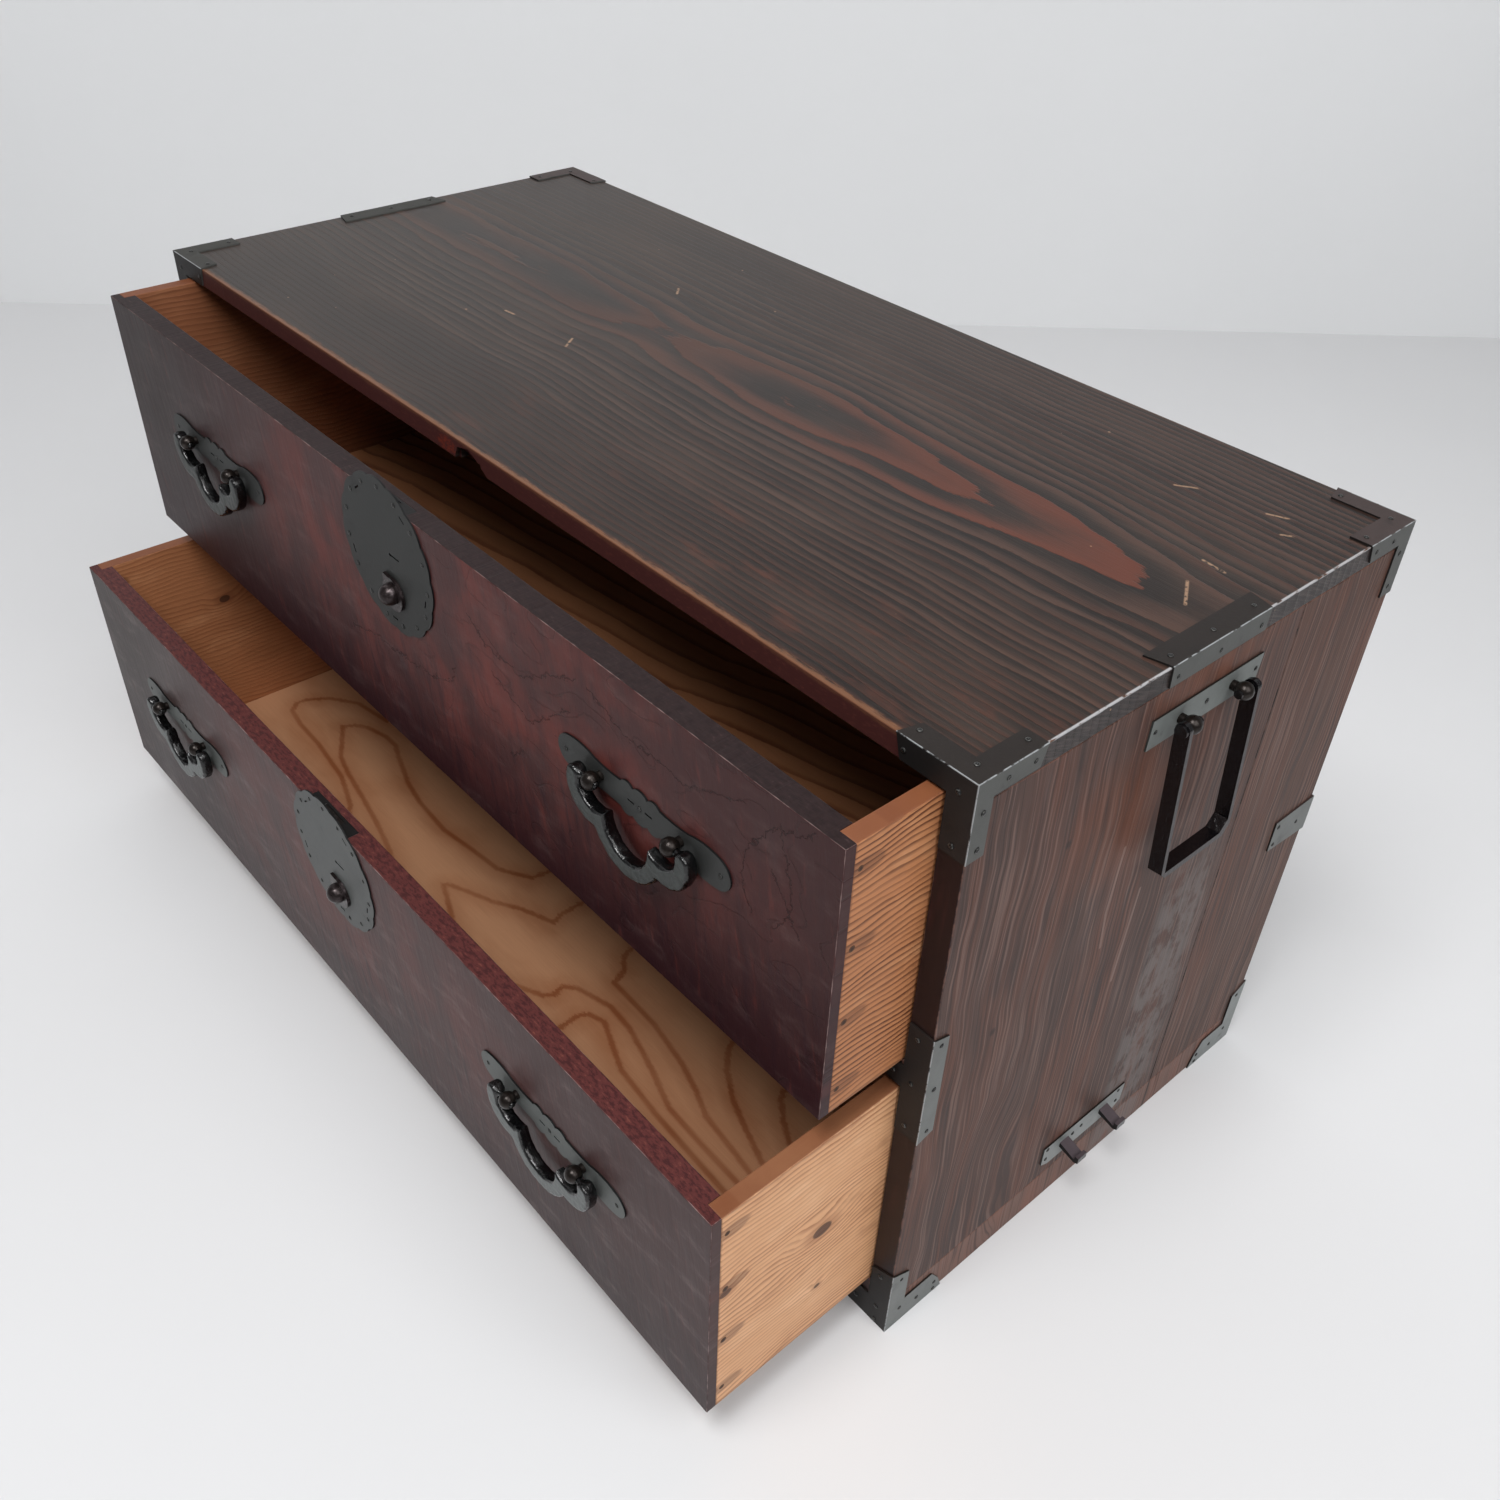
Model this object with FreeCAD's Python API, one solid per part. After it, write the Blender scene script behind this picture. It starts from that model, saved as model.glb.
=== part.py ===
import FreeCAD, Part

import math
import os
from dataclasses import dataclass

# Small two-drawer tansu chest with iron fittings, in millimetres.
# X runs along the width, Y from front to back and Z upwards. The origin is the centre of the underside.
# Both drawers stand a little open at rest.

# --- Carcass boards -------------------------------------------------------------------------------
CHEST_WIDTH = 880.0
CHEST_DEPTH = 400.0
CHEST_HEIGHT = 479.0
TOP_THICKNESS = 15.0
SIDE_THICKNESS = 18.0
SIDE_JOINT_DEPTH = 286.5  # from the front to the joint between the two boards of a side
BACK_THICKNESS = 9.0
BACK_BOARDS = 3
BASE_SIDE_HEIGHT = 32.0
BASE_FRONT_THICKNESS = 20.0
BASE_REAR_HEIGHT = 26.0
BASE_REAR_THICKNESS = 18.0
BOTTOM_THICKNESS = 12.0
RUNNER_WIDTH = 22.0
FLOOR_HEIGHT = 39.6  # the lower drawer's runners and the front base rail end here
MIDDLE_RAIL_THICKNESS = 23.0
MIDDLE_RAIL_DEPTH = 40.0
SHELF_THICKNESS = 10.0
EDGE_EASE = 0.8

# --- Drawers --------------------------------------------------------------------------------------
LOWER_DRAWER_HEIGHT = 200.0
DRAWER_FRONT_THICKNESS = 16.0
DRAWER_FRONT_LIP = 7.0  # the part of the front that laps the ends of the drawer's sides
DRAWER_SIDE_THICKNESS = 11.5
DRAWER_BACK_THICKNESS = 10.0
DRAWER_BACK_DROP = 10.0
DRAWER_BOTTOM_THICKNESS = 8.0
DRAWER_BOTTOM_RAISE = 4.0
GAP_UNDER = 0.4
GAP_OVER = 1.2
GAP_SIDE = 1.0
GAP_REAR = 4.0
FRONT_PROUD = 0.4  # how far a shut drawer's face stands in front of the carcass
UPPER_PULL = 65.0
LOWER_PULL = 140.0
PEG_RADIUS = 2.0
PEG_LENGTH = 24.0
PEG_COUNT = 4
PEG_END_MARGIN = 18.0  # from the drawer's top and bottom edges to the first and last peg

# --- Iron sheet and nails -------------------------------------------------------------------------
IRON_THICKNESS = 1.2
NAIL_HEAD_RADIUS = 1.8
NAIL_HEAD_HEIGHT = 0.9
NAIL_SHANK_RADIUS = 0.8
NAIL_SHANK_LENGTH = 8.0

# Corner irons at the top
TOP_CORNER_ARM = 52.0
TOP_CORNER_LEG = 50.0
TOP_CORNER_BAND = 14.0
TOP_CORNER_SIDE_BAND = 12.0
STILE_MARGIN = 1.0  # bare wood between a front iron and the drawer opening
ARM_SLANT = 4.0

# Corner irons at the bottom
BOTTOM_CORNER_FRONT_ARM = 36.0
BOTTOM_CORNER_SIDE_ARM = 54.0
BOTTOM_CORNER_BAND = 25.0
BOTTOM_CORNER_UPRIGHT = 66.0
BOTTOM_CORNER_UPRIGHT_WIDTH = 15.0

# Straps halfway up the front and rear edges, and over the top edges
MID_STRAP_LENGTH = 92.0
MID_STRAP_WIDTH = 12.0
MID_STRAP_TONGUE = 33.0
MID_STRAP_TONGUE_HEIGHT = 18.0
REAR_STRAP_LENGTH = 47.0
REAR_STRAP_HEIGHT = 30.0
TOP_STRAP_LENGTH = 92.0
TOP_STRAP_DROP = 13.5
TOP_STRAP_REACH = 16.0

# --- Side handles and the hooks below them --------------------------------------------------------
SIDE_FITTING_Y = -3.0  # middle of the fittings on a side, from the middle of the depth
SIDE_PLATE_LENGTH = 106.0
SIDE_PLATE_HEIGHT = 20.0
SIDE_PLATE_DROP = 42.0  # from the chest's top to the plate's middle
SIDE_BAIL_WIDTH = 68.2
SIDE_BAIL_LENGTH = 103.0
SIDE_BAIL_STRAP = 9.6
SIDE_BAIL_THICKNESS = 3.2
SIDE_BAIL_FOOT = 4.0
SIDE_BAIL_CORNER = 7.0
SIDE_BAIL_STANDOFF = 8.0  # from the plate's face to the pin's axis
SIDE_BAIL_LEAN = 4.0  # degrees that the hanging bail stands out from the side
SIDE_EYE_RADIUS = 5.6
SIDE_EYE_GAP = 0.5
SIDE_PIN_RADIUS = 2.6
SIDE_PIN_HEAD_RADIUS = 4.0
SIDE_PIN_HEAD_HEIGHT = 2.0
HOOK_PLATE_LENGTH = 92.0
HOOK_PLATE_HEIGHT = 22.0
HOOK_PLATE_RISE = 55.0  # from the underside to the plate's middle
HOOK_SPACING = 45.0
HOOK_WIDTH = 9.5
HOOK_THICKNESS = 3.2
HOOK_REACH = 17.0
HOOK_FALL = 5.0
HOOK_LIP = 3.6

# --- Drawer handles -------------------------------------------------------------------------------
HANDLE_SPREAD = 264.0  # from the lock's middle to the middle of a handle
HANDLE_DROP = 77.5  # from the drawer's top to the plate's middle
HANDLE_PLATE_LENGTH = 154.0
HANDLE_PLATE_HEIGHT = 24.6
POST_SPACING = 71.0
POST_RISE = 1.0  # the posts stand this far above the plate's middle
POST_STEM_RADIUS = 3.2
POST_STEM_DEPTH = 12.0
EYE_RADIUS = 5.8
EYE_STANDOFF = 8.4  # from the wood to the eye's middle
PIN_RADIUS = 2.5
PIN_TIP = 1.0  # how far a pin shows beyond its eye
PIN_CLEARANCE = 0.08
BAIL_BAR = 11.8  # width of the bail's bar, seen from the front
BAIL_THICKNESS = 9.0
BAIL_EDGE_RADIUS = 1.6
BAIL_HALF_WIDTH = 54.5
BAIL_DEPTH = 45.5  # from the pins to the bottom of the grip
BAIL_GRIP_RADIUS = 31.0
BAIL_OUTER_CUSP = 66.0  # degrees from straight down to the outer cusps of the grip
BAIL_INNER_CUSP = 100.0
BAIL_TOP = 4.4  # how far the bail's ends rise above the pins

# --- Locks ----------------------------------------------------------------------------------------
LOCK_X = 4.0
LOCK_DROP = 41.0  # from the drawer's top to the plate's middle
LOCK_RADIUS = 56.0
LOCK_SCALLOPS = 15
LOCK_SCALLOP_DEPTH = 1.6
LOCK_NAIL_INSET = 6.5
LOCK_FIRST_SLIT = 54.0  # degrees from the plate's right to its first slit
LOCK_SLITS = 5
LOCK_SLIT_INSET = 9.0
SLIT_LENGTH = 6.0
SLIT_WIDTH = 1.2
KEYHOLE_LENGTH = 11.0
CASE_WIDTH = 57.6
CASE_HEIGHT = 79.0
CASE_DEPTH = 9.6
CASE_WALL = 1.6
CASE_CLEARANCE = 0.2
BOLT_WIDTH = 26.0
BOLT_THICKNESS = 3.6
BOLT_TRAVEL = 6.0
BOLT_TOP_DROP = 0.5
BOLT_FOOT_RISE = 5.0  # from the bottom of the case to the foot of the bolt
BOLT_CLEARANCE = 0.3
MORTISE_CLEARANCE = 1.2
KNOB_X = 6.0
KNOB_DROP = 24.0  # from the plate's middle to the knob's axis
KNOB_RADIUS = 7.5
KNOB_HEIGHT = 9.0
KNOB_NECK_RADIUS = 5.0
CAM_RADIUS = 12.0
CAM_THICKNESS = 2.4
SPINDLE_RADIUS = 3.2
KNOB_TURN = 45.0
CRANK_THICKNESS = 1.6
CRANK_PIN_RADIUS = 2.0
CRANK_PIN_CLEARANCE = 0.25

# --- Worked out from the sizes above --------------------------------------------------------------
X, Y, Z = FreeCAD.Vector(1, 0, 0), FreeCAD.Vector(0, 1, 0), FreeCAD.Vector(0, 0, 1)
RIGHT_X = CHEST_WIDTH / 2
FRONT_Y = -CHEST_DEPTH / 2
REAR_Y = CHEST_DEPTH / 2
INNER_X = RIGHT_X - SIDE_THICKNESS
INNER_REAR_Y = REAR_Y - BACK_THICKNESS
UNDER_TOP_Z = CHEST_HEIGHT - TOP_THICKNESS
SIDE_JOINT_Y = FRONT_Y + SIDE_JOINT_DEPTH
LOWER_BOTTOM_Z = FLOOR_HEIGHT + GAP_UNDER
RAIL_BOTTOM_Z = LOWER_BOTTOM_Z + LOWER_DRAWER_HEIGHT + GAP_OVER
RAIL_TOP_Z = RAIL_BOTTOM_Z + MIDDLE_RAIL_THICKNESS
RAIL_MIDDLE_Z = (RAIL_BOTTOM_Z + RAIL_TOP_Z) / 2
UPPER_BOTTOM_Z = RAIL_TOP_Z + GAP_UNDER
UPPER_DRAWER_HEIGHT = UNDER_TOP_Z - GAP_OVER - UPPER_BOTTOM_Z
SHUT_FACE_Y = FRONT_Y - FRONT_PROUD
DRAWER_DEPTH = INNER_REAR_Y - GAP_REAR - SHUT_FACE_Y
DRAWER_HALF_WIDTH = INNER_X - GAP_SIDE
DRAWER_INNER_X = DRAWER_HALF_WIDTH - DRAWER_SIDE_THICKNESS
SIDE_PLATE_Z = CHEST_HEIGHT - SIDE_PLATE_DROP
SIDE_PIN_X = RIGHT_X + IRON_THICKNESS + SIDE_BAIL_STANDOFF
SIDE_ARM_INNER_Y = SIDE_BAIL_WIDTH / 2 - SIDE_BAIL_THICKNESS
SIDE_EYE_Y = SIDE_ARM_INNER_Y - SIDE_EYE_GAP - SIDE_EYE_RADIUS
HANDLE_SIDES = {"left": LOCK_X - HANDLE_SPREAD, "right": LOCK_X + HANDLE_SPREAD}
CRANK_THROW = BOLT_TRAVEL / 2 / math.sin(math.radians(KNOB_TURN / 2))

PARTS_FOLDER = "parts"


@dataclass(frozen=True)
class Drawer:
    """Name, height and place at rest of one drawer."""

    name: str
    face_y: float
    bottom_z: float
    height: float

    @property
    def top_z(self):
        """Height of the drawer's top edge."""
        return self.bottom_z + self.height

    @property
    def rear_y(self):
        """Depth at which the drawer ends."""
        return self.face_y + DRAWER_DEPTH

    @property
    def lock_z(self):
        """Height of the lock plate's middle."""
        return self.top_z - LOCK_DROP

    @property
    def handle_z(self):
        """Height of the handle plates' middle."""
        return self.top_z - HANDLE_DROP

    @property
    def pin_z(self):
        """Height of the bails' pins."""
        return self.handle_z + POST_RISE


# --- General shapes -------------------------------------------------------------------------------
def box(x0, x1, y0, y1, z0, z1):
    """Plain block between two corners."""
    return Part.makeBox(x1 - x0, y1 - y0, z1 - z0, FreeCAD.Vector(x0, y0, z0))


def board(x0, x1, y0, y1, z0, z1):
    """Planed board with its arrises taken off."""
    block = box(x0, x1, y0, y1, z0, z1)
    return block.makeFillet(EDGE_EASE, block.Edges)


def fused(shapes):
    """One solid from touching or overlapping shapes."""
    return shapes[0].fuse(shapes[1:]).removeSplitter()


def save(name, shape):
    """Write one named piece."""
    shape.exportStep(os.path.join(PARTS_FOLDER, name + ".step"))


def save_group(name, solids):
    """Write several like pieces that stay separate solids."""
    save(name, Part.makeCompound(solids))


def flip_x(shape):
    """Mirror image on the chest's other side."""
    return shape.mirror(FreeCAD.Vector(0, 0, 0), X)


def flip_y(shape):
    """Mirror image from the front to the rear."""
    return shape.mirror(FreeCAD.Vector(0, 0, 0), Y)


def sheet(outline, origin, along, across, out, thickness=IRON_THICKNESS):
    """Flat sheet on a face: the outline's pairs run along and across it, and the sheet grows outwards."""
    corners = [origin + along * a + across * b for a, b in outline]
    return Part.Face(Part.makePolygon(corners + corners[:1])).extrude(out * thickness)


def arc(start, middle, end):
    """Edge through three points."""
    return Part.Arc(start, middle, end).toShape()


def nail(point, out, shank_length=NAIL_SHANK_LENGTH):
    """Domed nail on a face: the point is under its head, and its shank runs into the wood."""
    sphere_radius = (NAIL_HEAD_RADIUS**2 + NAIL_HEAD_HEIGHT**2) / (2 * NAIL_HEAD_HEIGHT)
    ball = Part.makeSphere(sphere_radius, point + out * (NAIL_HEAD_HEIGHT - sphere_radius))
    cap = Part.makeCylinder(NAIL_HEAD_RADIUS * 2, NAIL_HEAD_HEIGHT * 2, point, out)
    head = ball.common(cap)
    if shank_length <= 0:
        return head
    shank_end = point - out * shank_length
    shank = Part.makeCylinder(NAIL_SHANK_RADIUS, shank_length + NAIL_HEAD_HEIGHT / 2, shank_end, out)
    return fused([head, shank])


def nails(places, origin, along, across, out):
    """Nails at (along, across) pairs on the outer face of a sheet."""
    surface = origin + out * IRON_THICKNESS
    return [nail(surface + along * a + across * b, out) for a, b in places]


# --- Carcass --------------------------------------------------------------------------------------
def bolt_span():
    """Left and right ends of a mortise for a lock's bolt."""
    half = BOLT_WIDTH / 2 + MORTISE_CLEARANCE
    return LOCK_X - half, LOCK_X + half


def bolt_depths(face_y):
    """Front and rear of a bolt, behind the drawer face given."""
    front = face_y + CASE_CLEARANCE + CASE_WALL + CRANK_THICKNESS + 2 * BOLT_CLEARANCE
    return front, front + BOLT_THICKNESS


def top_board():
    """Top, with the worn-out mouth where the upper lock's bolt enters its front edge."""
    left, right = bolt_span()
    mortise_rear = bolt_depths(SHUT_FACE_Y)[1] + MORTISE_CLEARANCE
    mortise_height = BOLT_TRAVEL + MORTISE_CLEARANCE
    mortise = box(left, right, FRONT_Y - 1, mortise_rear, UNDER_TOP_Z - 1, UNDER_TOP_Z + mortise_height)
    mouth_depth = (mortise_rear - FRONT_Y) / 2
    mouth = [
        (left - 3, -1),
        (left - 2, mortise_height * 0.4),
        (left + 1, mortise_height * 1.25),
        (LOCK_X - 6, mortise_height * 1.5),
        (LOCK_X, mortise_height * 1.7),
        (right - 5, mortise_height * 1.15),
        (right + 9, -1),
    ]
    worn = sheet(mouth, FreeCAD.Vector(0, FRONT_Y - 1, UNDER_TOP_Z), X, Z, Y, mouth_depth)
    panel = board(-RIGHT_X, RIGHT_X, FRONT_Y, REAR_Y, UNDER_TOP_Z, CHEST_HEIGHT)
    return panel.cut([mortise, worn])


def side_boards():
    """Front and rear board of the right side."""
    front = board(INNER_X, RIGHT_X, FRONT_Y, SIDE_JOINT_Y, BASE_SIDE_HEIGHT, UNDER_TOP_Z)
    rear = board(INNER_X, RIGHT_X, SIDE_JOINT_Y, REAR_Y, BASE_SIDE_HEIGHT, UNDER_TOP_Z)
    return front, rear


def middle_rail():
    """Rail between the drawers, with the mortise for the lower lock's bolt."""
    left, right = bolt_span()
    front, rear = bolt_depths(SHUT_FACE_Y)
    rail = board(-INNER_X, INNER_X, FRONT_Y, FRONT_Y + MIDDLE_RAIL_DEPTH, RAIL_BOTTOM_Z, RAIL_TOP_Z)
    mouth_front, mouth_rear = front - MORTISE_CLEARANCE, rear + MORTISE_CLEARANCE
    mouth_top = RAIL_BOTTOM_Z + BOLT_TRAVEL
    return rail.cut(box(left, right, mouth_front, mouth_rear, RAIL_BOTTOM_Z - 1, mouth_top))


def middle_shelf():
    """Board that the upper drawer slides on."""
    front = FRONT_Y + MIDDLE_RAIL_DEPTH
    return board(-INNER_X, INNER_X, front, INNER_REAR_Y, RAIL_TOP_Z - SHELF_THICKNESS, RAIL_TOP_Z)


def base_front():
    """Front rail of the base, up to the lower drawer's opening."""
    return board(-INNER_X, INNER_X, FRONT_Y, FRONT_Y + BASE_FRONT_THICKNESS, 0, FLOOR_HEIGHT)


def base_side():
    """Base rail under the right side."""
    return board(INNER_X, RIGHT_X, FRONT_Y, REAR_Y, 0, BASE_SIDE_HEIGHT)


def base_rear():
    """Rail on the bottom board that the back is nailed to."""
    front = INNER_REAR_Y - BASE_REAR_THICKNESS
    top = BOTTOM_THICKNESS + BASE_REAR_HEIGHT
    return board(-INNER_X, INNER_X, front, INNER_REAR_Y, BOTTOM_THICKNESS, top)


def bottom_board():
    """Board that closes the underside."""
    return board(-INNER_X, INNER_X, FRONT_Y + BASE_FRONT_THICKNESS, INNER_REAR_Y, 0, BOTTOM_THICKNESS)


def runner():
    """Right runner of the lower drawer."""
    front = FRONT_Y + BASE_FRONT_THICKNESS
    rear = INNER_REAR_Y - BASE_REAR_THICKNESS
    return board(INNER_X - RUNNER_WIDTH, INNER_X, front, rear, BOTTOM_THICKNESS, FLOOR_HEIGHT)


def back_boards():
    """Boards that close the back, one above another."""
    height = UNDER_TOP_Z / BACK_BOARDS
    return [
        board(-INNER_X, INNER_X, INNER_REAR_Y, REAR_Y, height * level, height * (level + 1))
        for level in range(BACK_BOARDS)
    ]


# --- Iron fittings on the carcass -----------------------------------------------------------------
def l_outline(arm, arm_width, leg, leg_width):
    """Outline of an angle plate that wraps the corner: its arm runs along, and its leg runs across."""
    wrap = -IRON_THICKNESS
    return [
        (wrap, wrap),
        (arm, wrap),
        (arm - ARM_SLANT, arm_width),
        (leg_width, arm_width),
        (leg_width, leg),
        (wrap, leg),
    ]


def top_corner():
    """Corner iron at the top front right, and its nails."""
    corner = FreeCAD.Vector(RIGHT_X, FRONT_Y, CHEST_HEIGHT)
    stile_width = SIDE_THICKNESS - STILE_MARGIN
    band = TOP_CORNER_BAND
    front = sheet(l_outline(TOP_CORNER_ARM, band, TOP_CORNER_LEG, stile_width), corner, -X, -Z, -Y)
    top = sheet(l_outline(TOP_CORNER_ARM, band, TOP_CORNER_LEG, band), corner, -X, Y, Z)
    side_band = TOP_CORNER_SIDE_BAND
    side = sheet(l_outline(TOP_CORNER_LEG, side_band, TOP_CORNER_LEG, side_band), corner, Y, -Z, X)
    near, far, half = band * 0.7, TOP_CORNER_LEG - 6.5, band / 2
    middle = side_band / 2
    heads = nails([(TOP_CORNER_ARM - 6, half), (near, near), (half + 2, far)], corner, -X, -Z, -Y)
    heads += nails([(TOP_CORNER_ARM - 7, half + 1), (near, near), (half, far)], corner, -X, Y, Z)
    places = [(far - 2, middle), (near * 2.2, middle), (middle, near * 2), (middle, far)]
    heads += nails(places, corner, Y, -Z, X)
    return fused([front, top, side]), heads


def bottom_corner():
    """Corner iron at the bottom front right, and its nails."""
    corner = FreeCAD.Vector(RIGHT_X, FRONT_Y, 0)
    stile_width = SIDE_THICKNESS - STILE_MARGIN
    wrap, band, top = -IRON_THICKNESS, BOTTOM_CORNER_BAND, BOTTOM_CORNER_UPRIGHT
    upright = BOTTOM_CORNER_UPRIGHT_WIDTH
    front_outline = [
        (wrap, 0),
        (BOTTOM_CORNER_FRONT_ARM, 0),
        (BOTTOM_CORNER_FRONT_ARM - ARM_SLANT * 2, band),
        (stile_width, band),
        (stile_width, top - ARM_SLANT * 2),
        (wrap, top),
    ]
    side_outline = [
        (wrap, 0),
        (BOTTOM_CORNER_SIDE_ARM, 0),
        (BOTTOM_CORNER_SIDE_ARM - ARM_SLANT, band / 2),
        (BOTTOM_CORNER_SIDE_ARM - ARM_SLANT * 3, band),
        (upright, band),
        (upright, top - ARM_SLANT * 2),
        (wrap, top),
    ]
    front = sheet(front_outline, corner, -X, Z, -Y)
    side = sheet(side_outline, corner, Y, Z, X)
    middle, high, far = band * 0.45, top - 11, BOTTOM_CORNER_SIDE_ARM - 8
    front_places = [(9, high), (9, band * 0.78), (9, 4), (BOTTOM_CORNER_FRONT_ARM - 9, middle)]
    side_places = [(8, high), (11, band * 0.7), (far * 0.62, middle), (far, middle), (far, 3.5)]
    heads = nails(front_places, corner, -X, Z, -Y) + nails(side_places, corner, Y, Z, X)
    return fused([front, side]), heads


def front_strap():
    """Strap round the front right edge at the middle rail, with a tongue on the rail, and its nails."""
    origin = FreeCAD.Vector(RIGHT_X, FRONT_Y, RAIL_MIDDLE_Z)
    half, wrap = MID_STRAP_LENGTH / 2, -IRON_THICKNESS
    stile_width = SIDE_THICKNESS - STILE_MARGIN
    side_outline = [
        (wrap, -half),
        (MID_STRAP_WIDTH, ARM_SLANT - half),
        (MID_STRAP_WIDTH, half - ARM_SLANT),
        (wrap, half),
    ]
    side = sheet(side_outline, origin, Y, Z, X)
    front_outline = [(wrap, -half), (stile_width, -half), (stile_width, half), (wrap, half)]
    front = sheet(front_outline, origin, -X, Z, -Y)
    round_end = MID_STRAP_TONGUE_HEIGHT / 2
    tongue_end = MID_STRAP_TONGUE - round_end
    tongue_outline = [(0, -round_end), (tongue_end, -round_end), (tongue_end, round_end), (0, round_end)]
    tongue = sheet(tongue_outline, origin, -X, Z, -Y)
    tip = Part.makeCylinder(round_end, IRON_THICKNESS, origin - X * tongue_end, -Y)
    row = [8 - half, 0, half - 8]
    heads = nails([(MID_STRAP_WIDTH / 2, place) for place in row], origin, Y, Z, X)
    heads += nails([(10, place) for place in row] + [(tongue_end, 0)], origin, -X, Z, -Y)
    return fused([side, front, tongue, tip]), heads


def rear_strap():
    """Strap round the rear right edge, and its nails."""
    origin = FreeCAD.Vector(RIGHT_X, REAR_Y, RAIL_MIDDLE_Z - MID_STRAP_TONGUE_HEIGHT / 2)
    half, wrap = REAR_STRAP_HEIGHT / 2, -IRON_THICKNESS
    outline = [
        (wrap, -half),
        (REAR_STRAP_LENGTH, ARM_SLANT - half),
        (REAR_STRAP_LENGTH, half),
        (wrap, half),
    ]
    far = REAR_STRAP_LENGTH - 5
    places = [(far, half - 6), (REAR_STRAP_LENGTH / 3, 0), (far, ARM_SLANT + 4 - half)]
    plates = [sheet(outline, origin, -Y, Z, X), sheet(outline, origin, -X, Z, Y)]
    heads = nails(places, origin, -Y, Z, X) + nails(places, origin, -X, Z, Y)
    return fused(plates), heads


def top_strap():
    """Strap over the right edge of the top, and its nails."""
    origin = FreeCAD.Vector(RIGHT_X, SIDE_FITTING_Y, CHEST_HEIGHT)
    half, wrap = TOP_STRAP_LENGTH / 2, -IRON_THICKNESS
    flare = half + ARM_SLANT
    top_outline = [(wrap, -half), (TOP_STRAP_REACH, -flare), (TOP_STRAP_REACH, flare), (wrap, half)]
    side_outline = [(-half, wrap), (half, wrap), (half - 1, TOP_STRAP_DROP), (1 - half, TOP_STRAP_DROP)]
    plates = [sheet(top_outline, origin, -X, Y, Z), sheet(side_outline, origin, Y, -Z, X)]
    row = [-(half - 7), 0, half - 7]
    heads = nails([(TOP_STRAP_REACH * 0.4, place) for place in row], origin, -X, Y, Z)
    heads += nails([(place, TOP_STRAP_DROP * 0.6) for place in row], origin, Y, -Z, X)
    return fused(plates), heads


def side_handle_plate():
    """Plate that carries the right side's bail, with holes for its posts, and its nails."""
    origin = FreeCAD.Vector(RIGHT_X, SIDE_FITTING_Y, SIDE_PLATE_Z)
    long, high = SIDE_PLATE_LENGTH / 2, SIDE_PLATE_HEIGHT / 2
    outline = [(-long, -high), (long - ARM_SLANT / 2, -high), (long, high), (ARM_SLANT / 4 - long, high)]
    plate = sheet(outline, origin, Y, Z, X)
    holes = [
        Part.makeCylinder(POST_STEM_RADIUS, IRON_THICKNESS * 4, origin + Y * y - X * IRON_THICKNESS, X)
        for y in (-SIDE_EYE_Y, SIDE_EYE_Y)
    ]
    places = [(-(long - 5), 1), (0, 0), (long - 5, 1)]
    return plate.cut(holes), nails(places, origin, Y, Z, X)


def side_handle_post(y):
    """Post with an eye for one pin of the right side's bail."""
    eye = FreeCAD.Vector(SIDE_PIN_X, SIDE_FITTING_Y + y, SIDE_PLATE_Z)
    stem_start = FreeCAD.Vector(RIGHT_X - POST_STEM_DEPTH, eye.y, eye.z)
    stem = Part.makeCylinder(POST_STEM_RADIUS, SIDE_PIN_X - stem_start.x, stem_start, X)
    post = fused([stem, Part.makeSphere(SIDE_EYE_RADIUS, eye)])
    bore_start = eye - Y * 2 * SIDE_EYE_RADIUS
    bore = Part.makeCylinder(SIDE_PIN_RADIUS + PIN_CLEARANCE, SIDE_EYE_RADIUS * 4, bore_start, Y)
    return post.cut(bore)


def side_bail():
    """Strap bail of the right side, hanging a little away from it, with a cut-off corner at the rear."""
    origin = FreeCAD.Vector(SIDE_PIN_X - SIDE_BAIL_STRAP / 2, SIDE_FITTING_Y, SIDE_PLATE_Z)
    half, foot, cut = SIDE_BAIL_WIDTH / 2, -SIDE_BAIL_LENGTH, SIDE_BAIL_CORNER
    inner, inner_foot = half - SIDE_BAIL_THICKNESS, foot + SIDE_BAIL_FOOT
    ease = SIDE_BAIL_FOOT
    outline = [
        (-half, 0),
        (-half, foot + ease),
        (ease - half, foot),
        (half - cut, foot),
        (half, foot + cut),
        (half, 0),
    ]
    opening = [
        (-inner, 0),
        (-inner, inner_foot),
        (inner - cut, inner_foot),
        (inner, inner_foot + cut),
        (inner, 0),
    ]
    strap = sheet(outline, origin, Y, Z, X, SIDE_BAIL_STRAP)
    pieces = [strap.cut(sheet(opening, origin, Y, Z, X, SIDE_BAIL_STRAP))]
    axis = FreeCAD.Vector(SIDE_PIN_X, SIDE_FITTING_Y, SIDE_PLATE_Z)
    for out in (-Y, Y):
        head_end = half + SIDE_PIN_HEAD_HEIGHT
        tip = SIDE_EYE_Y - SIDE_EYE_RADIUS - PIN_TIP
        pieces.append(Part.makeCylinder(SIDE_BAIL_STRAP / 2, SIDE_BAIL_THICKNESS, axis + out * inner, out))
        pieces.append(Part.makeCylinder(SIDE_PIN_RADIUS, head_end - tip, axis + out * tip, out))
        pieces.append(Part.makeCylinder(SIDE_PIN_HEAD_RADIUS, SIDE_PIN_HEAD_HEIGHT, axis + out * half, out))
    whole = fused(pieces)
    whole.rotate(axis, Y, -SIDE_BAIL_LEAN)
    return whole


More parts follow.
